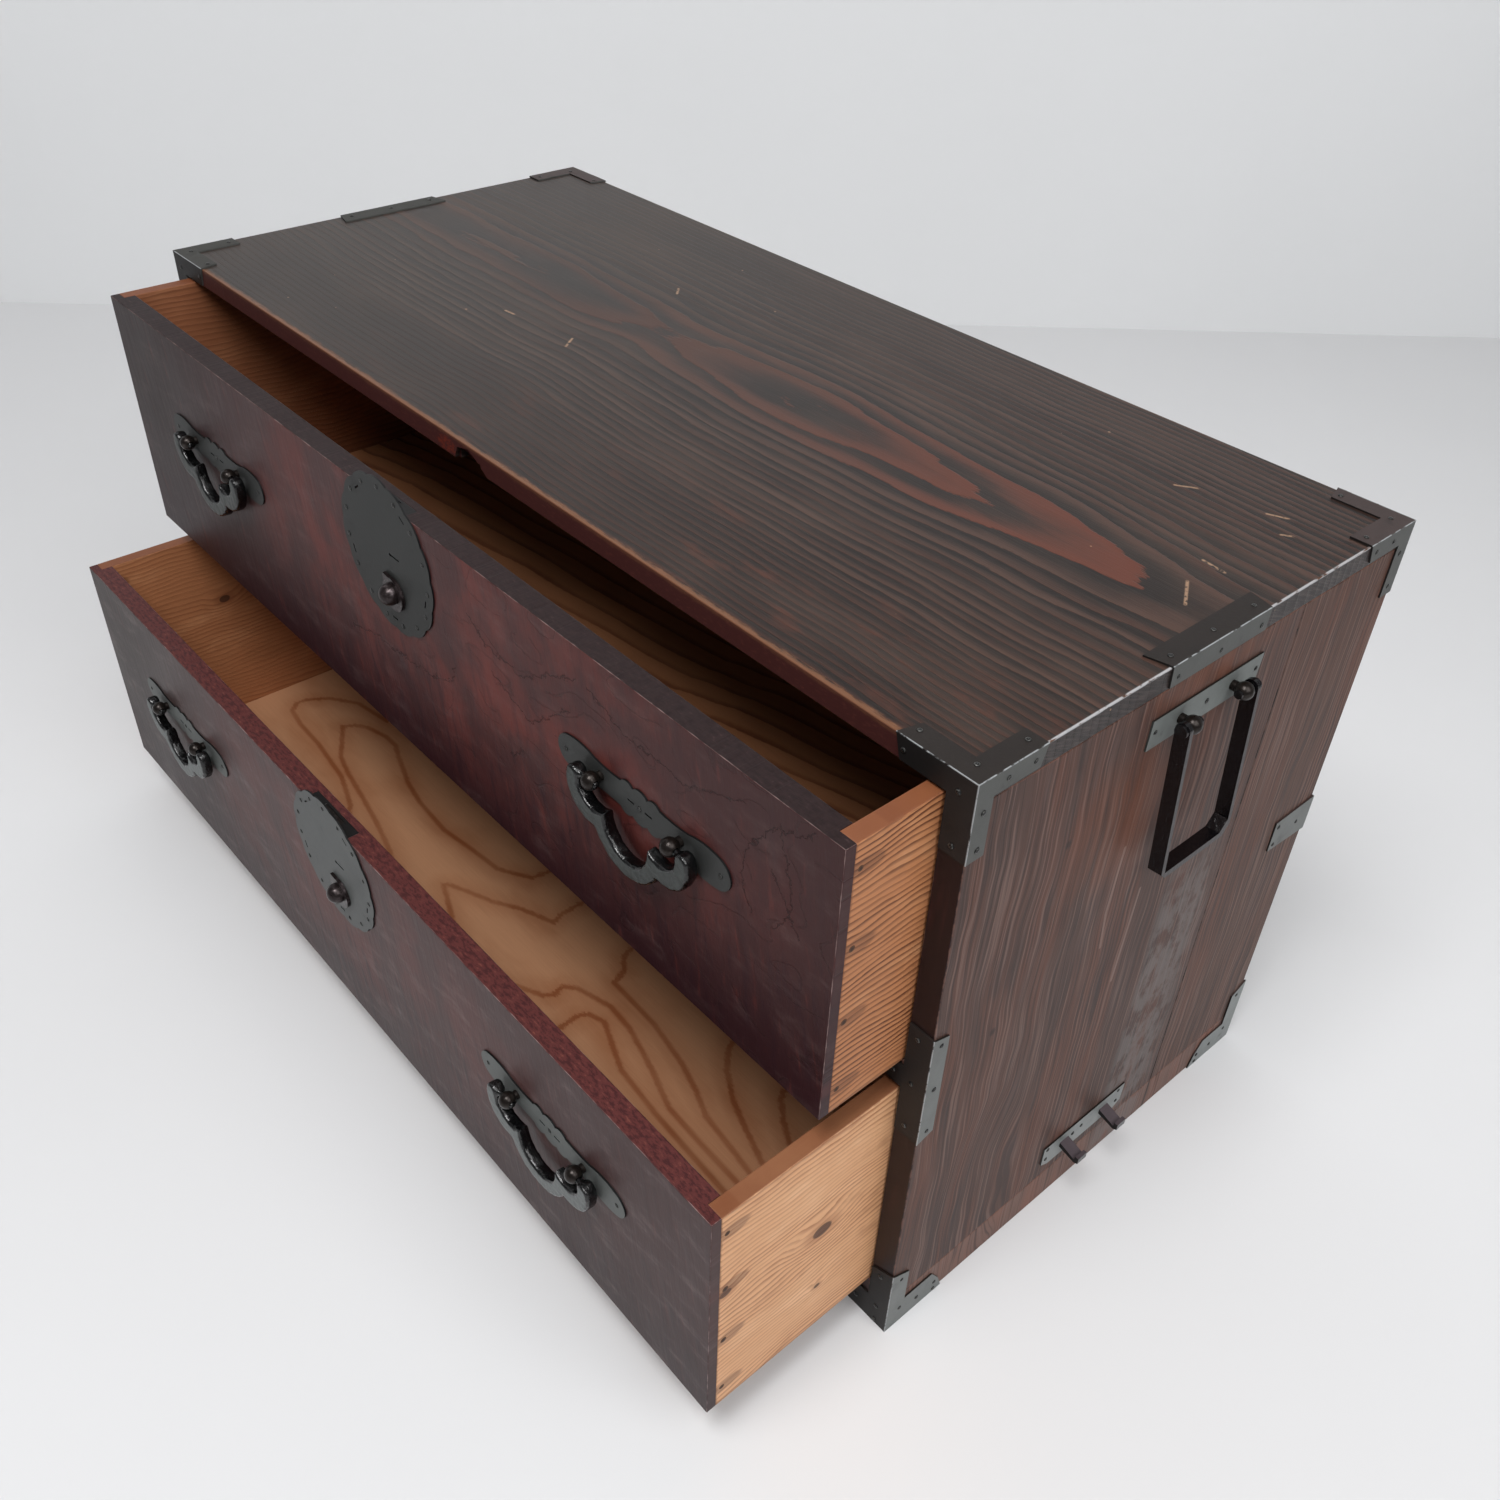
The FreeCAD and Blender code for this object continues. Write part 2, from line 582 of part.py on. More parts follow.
def hook_plate():
    """Plate behind the right side's hooks, and its nails."""
    origin = FreeCAD.Vector(RIGHT_X, SIDE_FITTING_Y, HOOK_PLATE_RISE)
    long, high, cut = HOOK_PLATE_LENGTH / 2, HOOK_PLATE_HEIGHT / 2, ARM_SLANT
    outline = [
        (-long, cut - high),
        (cut * 2 - long, -high),
        (long - cut * 2, -high),
        (long - 1, cut - high),
        (long, high),
        (-long, high),
    ]
    places = [
        (4 - long, -high / 4),
        (4 - long, high - 3),
        (-HOOK_SPACING * 0.28, high / 7),
        (-HOOK_SPACING * 0.07, high / 4),
        (long - 7, -high / 3),
        (long - 7, high - 3),
    ]
    return sheet(outline, origin, Y, Z, X), nails(places, origin, Y, Z, X)


def stacking_hook(y):
    """Hook with a turned-up lip, for the raised bail of a chest below."""
    origin = FreeCAD.Vector(RIGHT_X + IRON_THICKNESS, SIDE_FITTING_Y + y - HOOK_WIDTH / 2, HOOK_PLATE_RISE)
    thick, reach, fall = HOOK_THICKNESS, HOOK_REACH, HOOK_FALL
    outline = [
        (0, thick),
        (reach - thick, thick - fall),
        (reach - thick * 0.9, thick - fall + HOOK_LIP),
        (reach, thick - fall + HOOK_LIP),
        (reach, -fall * 0.7),
        (reach - thick, -fall),
        (0, -thick / 3),
    ]
    return sheet(outline, origin, X, Z, Y, HOOK_WIDTH)


# --- Drawer boxes ---------------------------------------------------------------------------------
def drawer_front(drawer):
    """Front with a lip over the sides' ends and a recess for the lock's case."""
    face, half = drawer.face_y, DRAWER_HALF_WIDTH
    panel = board(-half, half, face, face + DRAWER_FRONT_THICKNESS, drawer.bottom_z, drawer.top_z)
    cutters = []
    for side in (-1, 1):
        inner, outer = sorted((side * DRAWER_INNER_X, side * (half + 1)))
        lip, rear = face + DRAWER_FRONT_LIP, face + DRAWER_FRONT_THICKNESS + 1
        cutters.append(box(inner, outer, lip, rear, drawer.bottom_z - 1, drawer.top_z + 1))
    case = CASE_WIDTH / 2 + CASE_CLEARANCE
    rear = face + CASE_DEPTH + 2 * CASE_CLEARANCE
    floor = drawer.top_z - CASE_HEIGHT - CASE_CLEARANCE
    cutters.append(box(LOCK_X - case, LOCK_X + case, face - 1, rear, floor, drawer.top_z + 1))
    return panel.cut(cutters)


def drawer_side(drawer):
    """Right side, let in behind the front's lip."""
    front = drawer.face_y + DRAWER_FRONT_LIP
    return board(DRAWER_INNER_X, DRAWER_HALF_WIDTH, front, drawer.rear_y, drawer.bottom_z, drawer.top_z)


def drawer_back(drawer):
    """Back between the sides, a little lower than they are."""
    inner, front = DRAWER_INNER_X, drawer.rear_y - DRAWER_BACK_THICKNESS
    return board(-inner, inner, front, drawer.rear_y, drawer.bottom_z, drawer.top_z - DRAWER_BACK_DROP)


def drawer_bottom(drawer):
    """Bottom between the front, the sides and the back."""
    inner, low = DRAWER_INNER_X, drawer.bottom_z + DRAWER_BOTTOM_RAISE
    front, rear = drawer.face_y + DRAWER_FRONT_THICKNESS, drawer.rear_y - DRAWER_BACK_THICKNESS
    return board(-inner, inner, front, rear, low, low + DRAWER_BOTTOM_THICKNESS)


def drawer_pegs(drawer):
    """Pegs through both sides into the ends of the front, flush with the sides."""
    span = drawer.height - 2 * PEG_END_MARGIN
    depth = drawer.face_y + (DRAWER_FRONT_LIP + DRAWER_FRONT_THICKNESS) / 2
    pegs = []
    for count in range(PEG_COUNT):
        height = drawer.bottom_z + PEG_END_MARGIN + span * count / (PEG_COUNT - 1)
        for side in (-1, 1):
            start = FreeCAD.Vector(side * (DRAWER_HALF_WIDTH - PEG_LENGTH), depth, height)
            pegs.append(Part.makeCylinder(PEG_RADIUS, PEG_LENGTH, start, X * side))
    return pegs


# --- Locks ----------------------------------------------------------------------------------------
def polar(centre, radius, degrees):
    """Point on a circle that stands upright, facing the front."""
    angle = math.radians(degrees)
    return centre + X * (radius * math.cos(angle)) + Z * (radius * math.sin(angle))


def slit(centre, length, turn):
    """Cutter for a narrow slit through a sheet on a drawer's face."""
    deep, high = IRON_THICKNESS * 2, SLIT_WIDTH / 2
    block = box(-length / 2, length / 2, -deep, deep, -high, high)
    block.rotate(FreeCAD.Vector(0, 0, 0), -Y, turn)
    block.translate(centre)
    return block


def knob_axis(drawer):
    """Point on a lock knob's axis at the drawer's face."""
    return FreeCAD.Vector(LOCK_X + KNOB_X, drawer.face_y, drawer.lock_z - KNOB_DROP)


def lock_plate(drawer):
    """Round plate with a scalloped rim, slits, a keyhole and a hole for the knob's spindle."""
    centre = FreeCAD.Vector(LOCK_X, drawer.face_y, drawer.lock_z)
    step = 360.0 / LOCK_SCALLOPS
    valley = LOCK_RADIUS - LOCK_SCALLOP_DEPTH
    rim = []
    for count in range(LOCK_SCALLOPS):
        start = 90 - step / 2 + step * count
        points = (polar(centre, valley, start), polar(centre, LOCK_RADIUS, start + step / 2))
        rim.append(arc(*points, polar(centre, valley, start + step)))
    disc = Part.Face(Part.Wire(rim)).extrude(-Y * IRON_THICKNESS)
    cutters = []
    for count in range(LOCK_SLITS):
        place = LOCK_FIRST_SLIT + 360.0 / LOCK_SLITS * count
        cutters.append(slit(polar(centre, LOCK_RADIUS - LOCK_SLIT_INSET, place), SLIT_LENGTH, place + 90))
    keyhole = centre + X * KEYHOLE_LENGTH + Z * KEYHOLE_LENGTH / 3
    cutters.append(slit(keyhole, KEYHOLE_LENGTH, 0))
    keyhole_eye = keyhole - X * KEYHOLE_LENGTH / 2 + Y * SLIT_WIDTH
    cutters.append(Part.makeCylinder(SLIT_WIDTH, IRON_THICKNESS * 4, keyhole_eye, -Y))
    hole_start = knob_axis(drawer) + Y * IRON_THICKNESS
    cutters.append(Part.makeCylinder(SPINDLE_RADIUS + PIN_CLEARANCE, IRON_THICKNESS * 4, hole_start, -Y))
    return disc.cut(cutters)


def lock_nails(drawer):
    """Nails round the lock plate's rim; those above the drawer's wood are cut short behind the plate."""
    centre = FreeCAD.Vector(LOCK_X, drawer.face_y - IRON_THICKNESS, drawer.lock_z)
    heads = []
    for count in range(LOCK_SCALLOPS):
        point = polar(centre, LOCK_RADIUS - LOCK_NAIL_INSET, 90 + 360.0 / LOCK_SCALLOPS * count)
        on_wood = point.z < drawer.top_z - NAIL_HEAD_RADIUS
        heads.append(nail(point, -Y, NAIL_SHANK_LENGTH if on_wood else 0))
    return heads


def case_inside(drawer):
    """Front, rear, floor and half width of the hollow in a lock's case."""
    front = drawer.face_y + CASE_CLEARANCE + CASE_WALL
    rear = bolt_depths(drawer.face_y)[1] + BOLT_CLEARANCE
    floor = drawer.top_z - CASE_HEIGHT + CASE_WALL
    return front, rear, floor, BOLT_WIDTH / 2 + BOLT_CLEARANCE


def lock_case(drawer):
    """Iron case let into the front; its bolt rises through the top."""
    half, foot = CASE_WIDTH / 2, drawer.top_z - CASE_HEIGHT
    face = drawer.face_y + CASE_CLEARANCE
    case = box(LOCK_X - half, LOCK_X + half, face, face + CASE_DEPTH, foot, drawer.top_z)
    front, rear, floor, inside = case_inside(drawer)
    hollow = box(LOCK_X - inside, LOCK_X + inside, front, rear, floor, drawer.top_z + 1)
    hole_start = knob_axis(drawer) - Y
    hole = Part.makeCylinder(SPINDLE_RADIUS + PIN_CLEARANCE, front - hole_start.y + 1, hole_start, Y)
    return case.cut([hollow, hole])


def crank_pin_place(drawer):
    """Middle of the crank's pin at rest, with the bolt down."""
    angle = math.radians(KNOB_TURN / 2)
    return knob_axis(drawer) - X * (CRANK_THROW * math.cos(angle)) - Z * (CRANK_THROW * math.sin(angle))


def lock_bolt(drawer):
    """Flat bolt with a slot for the crank's pin, down in its case."""
    front, rear = bolt_depths(drawer.face_y)
    half, foot = BOLT_WIDTH / 2, drawer.top_z - CASE_HEIGHT + BOLT_FOOT_RISE
    plate = box(LOCK_X - half, LOCK_X + half, front, rear, foot, drawer.top_z - BOLT_TOP_DROP)
    pin = crank_pin_place(drawer)
    sway = CRANK_THROW * (1 - math.cos(math.radians(KNOB_TURN / 2)))
    reach = CRANK_PIN_RADIUS + CRANK_PIN_CLEARANCE
    slot = box(pin.x - sway - reach, pin.x + reach, front - 1, rear + 1, pin.z - reach, pin.z + reach)
    return plate.cut(slot)


def lock_knob(drawer):
    """Domed knob on a comma-shaped cam, with the spindle, crank and pin that lift the bolt."""
    axis = knob_axis(drawer)
    face = axis - Y * (IRON_THICKNESS + BOLT_CLEARANCE)
    cam = Part.makeCylinder(CAM_RADIUS, CAM_THICKNESS, face - Z, -Y)
    tail = [
        (-CAM_RADIUS * 0.8, CAM_RADIUS * 0.95),
        (-CAM_RADIUS * 0.95, -CAM_RADIUS * 0.3),
        (0, 0),
        (CAM_RADIUS * 0.25, CAM_RADIUS * 0.85),
    ]
    point = sheet(tail, face, X, Z, -Y, CAM_THICKNESS)
    neck = Part.makeCylinder(KNOB_NECK_RADIUS, KNOB_HEIGHT / 2, face, -Y)
    dome_centre = face - Y * (KNOB_HEIGHT - KNOB_RADIUS * 0.7)
    dome = Part.makeSphere(KNOB_RADIUS, dome_centre)
    flat_back = face - Y * CAM_THICKNESS
    dome = dome.common(Part.makeCylinder(KNOB_RADIUS * 2, KNOB_HEIGHT * 2, flat_back, -Y))
    crank_front = axis.y + CASE_CLEARANCE + CASE_WALL + BOLT_CLEARANCE
    crank_rear = crank_front + CRANK_THICKNESS
    spindle = Part.makeCylinder(SPINDLE_RADIUS, crank_rear - face.y, face, Y)
    pin = crank_pin_place(drawer)
    boss = CRANK_PIN_RADIUS * 1.7
    pin_end = bolt_depths(drawer.face_y)[1]
    crank_start = FreeCAD.Vector(axis.x, crank_front, axis.z)
    throw = FreeCAD.Vector(pin.x - axis.x, 0, pin.z - axis.z)
    middle = box(0, CRANK_THROW, 0, CRANK_THICKNESS, -boss, boss)
    middle.rotate(FreeCAD.Vector(0, 0, 0), Y, 180 - KNOB_TURN / 2)
    middle.translate(crank_start)
    pin_start = crank_start + throw
    crank = [
        Part.makeCylinder(boss, CRANK_THICKNESS, crank_start, Y),
        middle,
        Part.makeCylinder(boss, CRANK_THICKNESS, pin_start, Y),
        Part.makeCylinder(CRANK_PIN_RADIUS, pin_end - crank_front, pin_start, Y),
    ]
    return fused([cam, point, neck, dome, spindle] + crank)


# --- Drawer handles -------------------------------------------------------------------------------
def handle_quarter():
    """Arcs of a quarter of a handle plate's outline, from the middle of its edge to its end."""
    long, high = HANDLE_PLATE_LENGTH / 2, HANDLE_PLATE_HEIGHT / 2
    first_cusp, last_cusp, neck_end = long * 0.085, long * 0.225, long * 0.54
    shoulder = (long * 0.89, high * 0.87)
    return [
        [(0, high * 0.98), (first_cusp * 0.6, high * 0.92), (first_cusp, high * 0.76)],
        [(first_cusp, high * 0.76), ((first_cusp + last_cusp) / 2, high * 0.97), (last_cusp, high * 0.74)],
        [(last_cusp, high * 0.74), ((last_cusp + neck_end) / 2, high * 0.7), (neck_end, high * 0.78)],
        [(neck_end, high * 0.78), (long * 0.76, high * 0.99), shoulder],
        [shoulder, (long * 0.97, high * 0.52), (long, 0)],
    ]


def handle_plate(drawer, centre_x):
    """Leaf-ended plate behind one bail, with slits beside its middle nail and holes for the posts."""
    centre = FreeCAD.Vector(centre_x, drawer.face_y, drawer.handle_z)
    edges = []
    for flip_long, flip_high in ((1, 1), (1, -1), (-1, -1), (-1, 1)):
        for places in handle_quarter():
            edges.append(arc(*[centre + X * (a * flip_long) + Z * (b * flip_high) for a, b in places]))
    outline = Part.Wire(Part.__sortEdges__(edges))
    plate = Part.Face(outline).extrude(-Y * IRON_THICKNESS)
    cutters = [slit(centre + X * (side * POST_SPACING * 0.11), SLIT_LENGTH, 0) for side in (-1, 1)]
    for side in (-1, 1):
        hole = centre + X * (side * POST_SPACING / 2) + Z * POST_RISE + Y * IRON_THICKNESS
        cutters.append(Part.makeCylinder(POST_STEM_RADIUS, IRON_THICKNESS * 4, hole, -Y))
    return plate.cut(cutters)


def handle_nails(drawer, centre_x):
    """Nails at the ends and the middle of a handle plate."""
    centre = FreeCAD.Vector(centre_x, drawer.face_y, drawer.handle_z)
    end = HANDLE_PLATE_LENGTH / 2 - 8
    return nails([(-end, 0), (0, 0), (end, 0)], centre, X, Z, -Y)


def handle_post(drawer, post_x):
    """Post driven into the front, with a ball-shaped eye for one of the bail's pins."""
    eye = FreeCAD.Vector(post_x, drawer.face_y - EYE_STANDOFF, drawer.pin_z)
    stem = Part.makeCylinder(POST_STEM_RADIUS, EYE_STANDOFF + POST_STEM_DEPTH, eye, Y)
    post = fused([stem, Part.makeSphere(EYE_RADIUS, eye)])
    bore = Part.makeCylinder(PIN_RADIUS + PIN_CLEARANCE, EYE_RADIUS * 4, eye - X * 2 * EYE_RADIUS, X)
    return post.cut(bore)


def circle_point(radius, middle_z, degrees):
    """Point on a circle below the pins, by its angle from straight down."""
    angle = math.radians(degrees)
    return radius * math.sin(angle), middle_z - radius * math.cos(angle)


def bail_half():
    """Arcs of the right half of a bail's outline: round the outside to the pin, then back inside."""
    wide, bar, grip = BAIL_HALF_WIDTH, BAIL_BAR, BAIL_GRIP_RADIUS
    middle = grip - BAIL_DEPTH
    outer_cusp = circle_point(grip, middle, BAIL_OUTER_CUSP)
    inner_cusp = circle_point(grip - bar, middle, BAIL_INNER_CUSP)
    hip = (wide, -bar * 0.68)
    lobe = (outer_cusp[0] + (wide - outer_cusp[0]) * 0.66, outer_cusp[1] + bar * 0.28)
    top_out, top_in = (wide - 0.4, 0), (wide - bar + 0.6, 0)
    elbow = (wide - bar * 1.28, -bar * 0.97)
    inside = grip - bar
    return [
        [circle_point(grip, middle, 0), circle_point(grip, middle, BAIL_OUTER_CUSP / 2), outer_cusp],
        [outer_cusp, lobe, hip],
        [hip, (wide + 0.2, hip[1] / 2), top_out],
        [top_out, (wide - bar / 2, BAIL_TOP), top_in],
        [top_in, (wide - bar + 0.4, -bar * 0.5), elbow],
        [elbow, ((elbow[0] + inner_cusp[0]) / 2, elbow[1] - bar * 0.33), inner_cusp],
        [inner_cusp, circle_point(inside, middle, BAIL_INNER_CUSP / 2), circle_point(inside, middle, 0)],
    ]


def bail_bar(axis):
    """Flat bar of a bail's shape with rounded edges, front and rear."""
    rear = axis + Y * BAIL_THICKNESS / 2
    edges = []
    for side in (-1, 1):
        for places in bail_half():
            edges.append(arc(*[rear + X * (side * a) + Z * b for a, b in places]))
    slab = Part.Face(Part.Wire(Part.__sortEdges__(edges))).extrude(-Y * BAIL_THICKNESS)
    rims = [edge for edge in slab.Edges if abs(edge.CenterOfMass.y - axis.y) > BAIL_THICKNESS / 3]
    return slab.makeFillet(BAIL_EDGE_RADIUS, rims)


def bail(drawer, centre_x):
    """Three-lobed bail, hanging: pins in both eyes, a lobe below each post and the grip between them."""
    axis = FreeCAD.Vector(centre_x, drawer.face_y - EYE_STANDOFF, drawer.pin_z)
    tip = POST_SPACING / 2 - EYE_RADIUS - PIN_TIP
    pin_length = BAIL_HALF_WIDTH - BAIL_BAR / 2 - tip
    pieces = [bail_bar(axis)]
    for out in (X, -X):
        pieces.append(Part.makeCylinder(PIN_RADIUS, pin_length, axis + out * tip, out))
    return fused(pieces)


# --- Writing the pieces ---------------------------------------------------------------------------
def write_carcass():
    """Wooden pieces of the carcass."""
    save("top_board", top_board())
    front, rear = side_boards()
    save("side_right_front_board", front)
    save("side_right_rear_board", rear)
    save("side_left_front_board", flip_x(front))
    save("side_left_rear_board", flip_x(rear))
    save("middle_rail", middle_rail())
    save("middle_shelf", middle_shelf())
    save("base_rail_front", base_front())
    save("base_rail_right", base_side())
    save("base_rail_left", flip_x(base_side()))
    save("base_rail_rear", base_rear())
    save("bottom_board", bottom_board())
    save_group("lower_runners", [runner(), flip_x(runner())])
    save_group("back_boards", back_boards())


def write_corner_irons():
    """The eight corner irons; their nails are returned."""
    heads = []
    for level, (iron, set_nails) in (("top", top_corner()), ("bottom", bottom_corner())):
        save("corner_iron_front_" + level + "_right", iron)
        save("corner_iron_front_" + level + "_left", flip_x(iron))
        save("corner_iron_rear_" + level + "_right", flip_y(iron))
        save("corner_iron_rear_" + level + "_left", flip_x(flip_y(iron)))
        for head in set_nails:
            heads += [head, flip_x(head), flip_y(head), flip_x(flip_y(head))]
    return heads


def write_carcass_irons():
    """Straps, plates, posts, hooks and side bails, and all the nails that hold them."""
    heads = write_corner_irons()
    pairs = {
        "mid_straps_front": front_strap(),
        "mid_straps_rear": rear_strap(),
        "top_straps": top_strap(),
        "side_handle_plates": side_handle_plate(),
        "hook_plates": hook_plate(),
    }
    for name, (plate, set_nails) in pairs.items():
        save_group(name, [plate, flip_x(plate)])
        for head in set_nails:
            heads += [head, flip_x(head)]
    save_group("carcass_nails", heads)
    posts = [side_handle_post(-SIDE_EYE_Y), side_handle_post(SIDE_EYE_Y)]
    save_group("side_handle_posts", posts + [flip_x(post) for post in posts])
    hooks = [stacking_hook(-HOOK_SPACING / 2), stacking_hook(HOOK_SPACING / 2)]
    save_group("stacking_hooks", hooks + [flip_x(hook) for hook in hooks])
    save("side_bail_right", side_bail())
    save("side_bail_left", flip_x(side_bail()))


def write_drawer(drawer):
    """Every piece of one drawer."""
    name = drawer.name + "_drawer_"
    save(name + "front", drawer_front(drawer))
    save(name + "side_right", drawer_side(drawer))
    save(name + "side_left", flip_x(drawer_side(drawer)))
    save(name + "back", drawer_back(drawer))
    save(name + "bottom", drawer_bottom(drawer))
    save(drawer.name + "_lock_plate", lock_plate(drawer))
    save(drawer.name + "_lock_case", lock_case(drawer))
    save(drawer.name + "_lock_bolt", lock_bolt(drawer))
    save(drawer.name + "_lock_knob", lock_knob(drawer))
    heads = lock_nails(drawer) + drawer_pegs(drawer)
    plates, posts = [], []
    for side, side_x in HANDLE_SIDES.items():
        plates.append(handle_plate(drawer, side_x))
        posts += [handle_post(drawer, side_x + offset) for offset in (-POST_SPACING / 2, POST_SPACING / 2)]
        heads += handle_nails(drawer, side_x)
        save(drawer.name + "_bail_" + side, bail(drawer, side_x))
    save_group(drawer.name + "_handle_plates", plates)
    save_group(drawer.name + "_handle_posts", posts)
    save_group(name + "nails", heads)


def main():
    """Build and write the whole chest."""
    os.makedirs(PARTS_FOLDER, exist_ok=True)
    write_carcass()
    write_carcass_irons()
    write_drawer(Drawer("upper", SHUT_FACE_Y - UPPER_PULL, UPPER_BOTTOM_Z, UPPER_DRAWER_HEIGHT))
    write_drawer(Drawer("lower", SHUT_FACE_Y - LOWER_PULL, LOWER_BOTTOM_Z, LOWER_DRAWER_HEIGHT))


main()
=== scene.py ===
"""A small tansu chest of two drawers: its wood and iron finishes, its nails, its forged bails and its studio.

Lengths are metres in the scene. The finishes are written in millimetres and in sRGB colours from 0 to 255.
"""

import logging
import math
from abc import ABC, abstractmethod
from dataclasses import dataclass, replace
from enum import Enum
from functools import reduce
from typing import Any, Callable, Iterable, Sequence, Union

import bmesh
import bpy
from mathutils import Euler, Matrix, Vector, noise


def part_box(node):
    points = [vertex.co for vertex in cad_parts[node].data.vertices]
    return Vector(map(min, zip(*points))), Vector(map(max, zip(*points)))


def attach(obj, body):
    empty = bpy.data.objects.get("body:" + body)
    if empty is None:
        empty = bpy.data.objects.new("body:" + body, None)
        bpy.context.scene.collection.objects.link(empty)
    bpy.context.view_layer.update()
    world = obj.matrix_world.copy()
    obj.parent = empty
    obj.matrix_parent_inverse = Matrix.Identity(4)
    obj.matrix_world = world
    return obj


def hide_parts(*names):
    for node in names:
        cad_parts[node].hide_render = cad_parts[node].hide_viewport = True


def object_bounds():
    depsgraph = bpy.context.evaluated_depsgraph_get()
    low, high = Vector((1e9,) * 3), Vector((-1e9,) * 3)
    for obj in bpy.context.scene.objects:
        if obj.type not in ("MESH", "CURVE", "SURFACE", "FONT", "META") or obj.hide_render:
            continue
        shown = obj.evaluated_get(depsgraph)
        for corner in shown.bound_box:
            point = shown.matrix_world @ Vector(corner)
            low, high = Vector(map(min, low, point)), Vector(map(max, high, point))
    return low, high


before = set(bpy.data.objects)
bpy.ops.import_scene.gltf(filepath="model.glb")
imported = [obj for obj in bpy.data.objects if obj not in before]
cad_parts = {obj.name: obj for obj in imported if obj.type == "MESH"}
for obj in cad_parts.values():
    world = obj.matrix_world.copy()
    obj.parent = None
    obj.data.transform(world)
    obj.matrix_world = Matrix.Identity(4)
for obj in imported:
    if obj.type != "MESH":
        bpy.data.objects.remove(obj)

CAD_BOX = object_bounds()
MM = 0.001
SAME_POINT = 1e-6
LOG = logging.getLogger("tansu")

Number = Union[float, "Val"]
Rgb = tuple[int, int, int]
Socket = bpy.types.NodeSocket
Material = bpy.types.Material
Tint = Union[Rgb, Socket]
Place = tuple[float, float]
Line = tuple[Place, ...]
Box = tuple[Vector, Vector]
Seat = tuple[Vector, Vector]


def linear(rgb: Rgb) -> tuple[float, float, float, float]:
    """Turns an sRGB colour with parts from 0 to 255 into Blender's linear one, with an alpha of 1."""
    parts = [c / 255 for c in rgb]
    return (*[c / 12.92 if c <= 0.04045 else ((c + 0.055) / 1.055) ** 2.4 for c in parts], 1.0)


def box_of(points: Iterable[Vector]) -> Box:
    """Low and high corner of the box round some points."""
    axes = list(zip(*points))
    return Vector([min(axis) for axis in axes]), Vector([max(axis) for axis in axes])


def iron_box() -> Box:
    """Corners of the carcass with its corner irons on."""
    irons = [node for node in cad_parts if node.startswith("corner_iron")]
    return box_of(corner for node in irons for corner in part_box(node))


def new_object(name: str, data: bpy.types.ID) -> bpy.types.Object:
    """Makes an object at the origin and links it to the scene."""
    made = bpy.data.objects.new(name, data)
    bpy.context.scene.collection.objects.link(made)
    return made


def dress(mesh: bpy.types.Mesh, material: Material) -> None:
    """Gives a mesh one material in place of those it has."""
    mesh.materials.clear()
    mesh.materials.append(material)


def maths_method(operation: str, swapped: bool = False) -> Callable[..., "Val"]:
    """Makes a method of Val that adds one Math node.

    Args:
        operation: the node's operation.
        swapped: whether the other number comes first, as in the reflected form of an operator.

    Returns:
        The method, which takes the other number, if there is one, and returns the result.
    """

    def method(self: "Val", other: Number = 0.0) -> "Val":
        """Adds the node."""
        return self.graph.maths(operation, *((other, self) if swapped else (self, other)))

    return method


class Val:
    """A number flowing through a tree's nodes, written as plain arithmetic."""

    __add__ = __radd__ = maths_method("ADD")
    __mul__ = __rmul__ = maths_method("MULTIPLY")
    __sub__ = maths_method("SUBTRACT")
    __rsub__ = maths_method("SUBTRACT", swapped=True)
    __truediv__ = maths_method("DIVIDE")
    __rtruediv__ = maths_method("DIVIDE", swapped=True)
    __pow__ = maths_method("POWER")
    __abs__ = maths_method("ABSOLUTE")
    fract = maths_method("FRACT")
    low = maths_method("MINIMUM")
    high = maths_method("MAXIMUM")

    def __init__(self, graph: "Nodes", socket: Socket) -> None:
        """Keeps the tree and the socket that carries the number."""
        self.graph = graph
        self.socket = socket

    def rise(self, start: float, end: float) -> "Val":
        """Smooth step from 0 at start to 1 at end; start may be above end."""
        sockets = {"Value": self, "From Min": min(start, end), "From Max": max(start, end)}
        step = self.graph.node("ShaderNodeMapRange", {"interpolation_type": "SMOOTHSTEP"}, sockets)
        got = Val(self.graph, step.outputs["Result"])
        return got if end > start else 1 - got


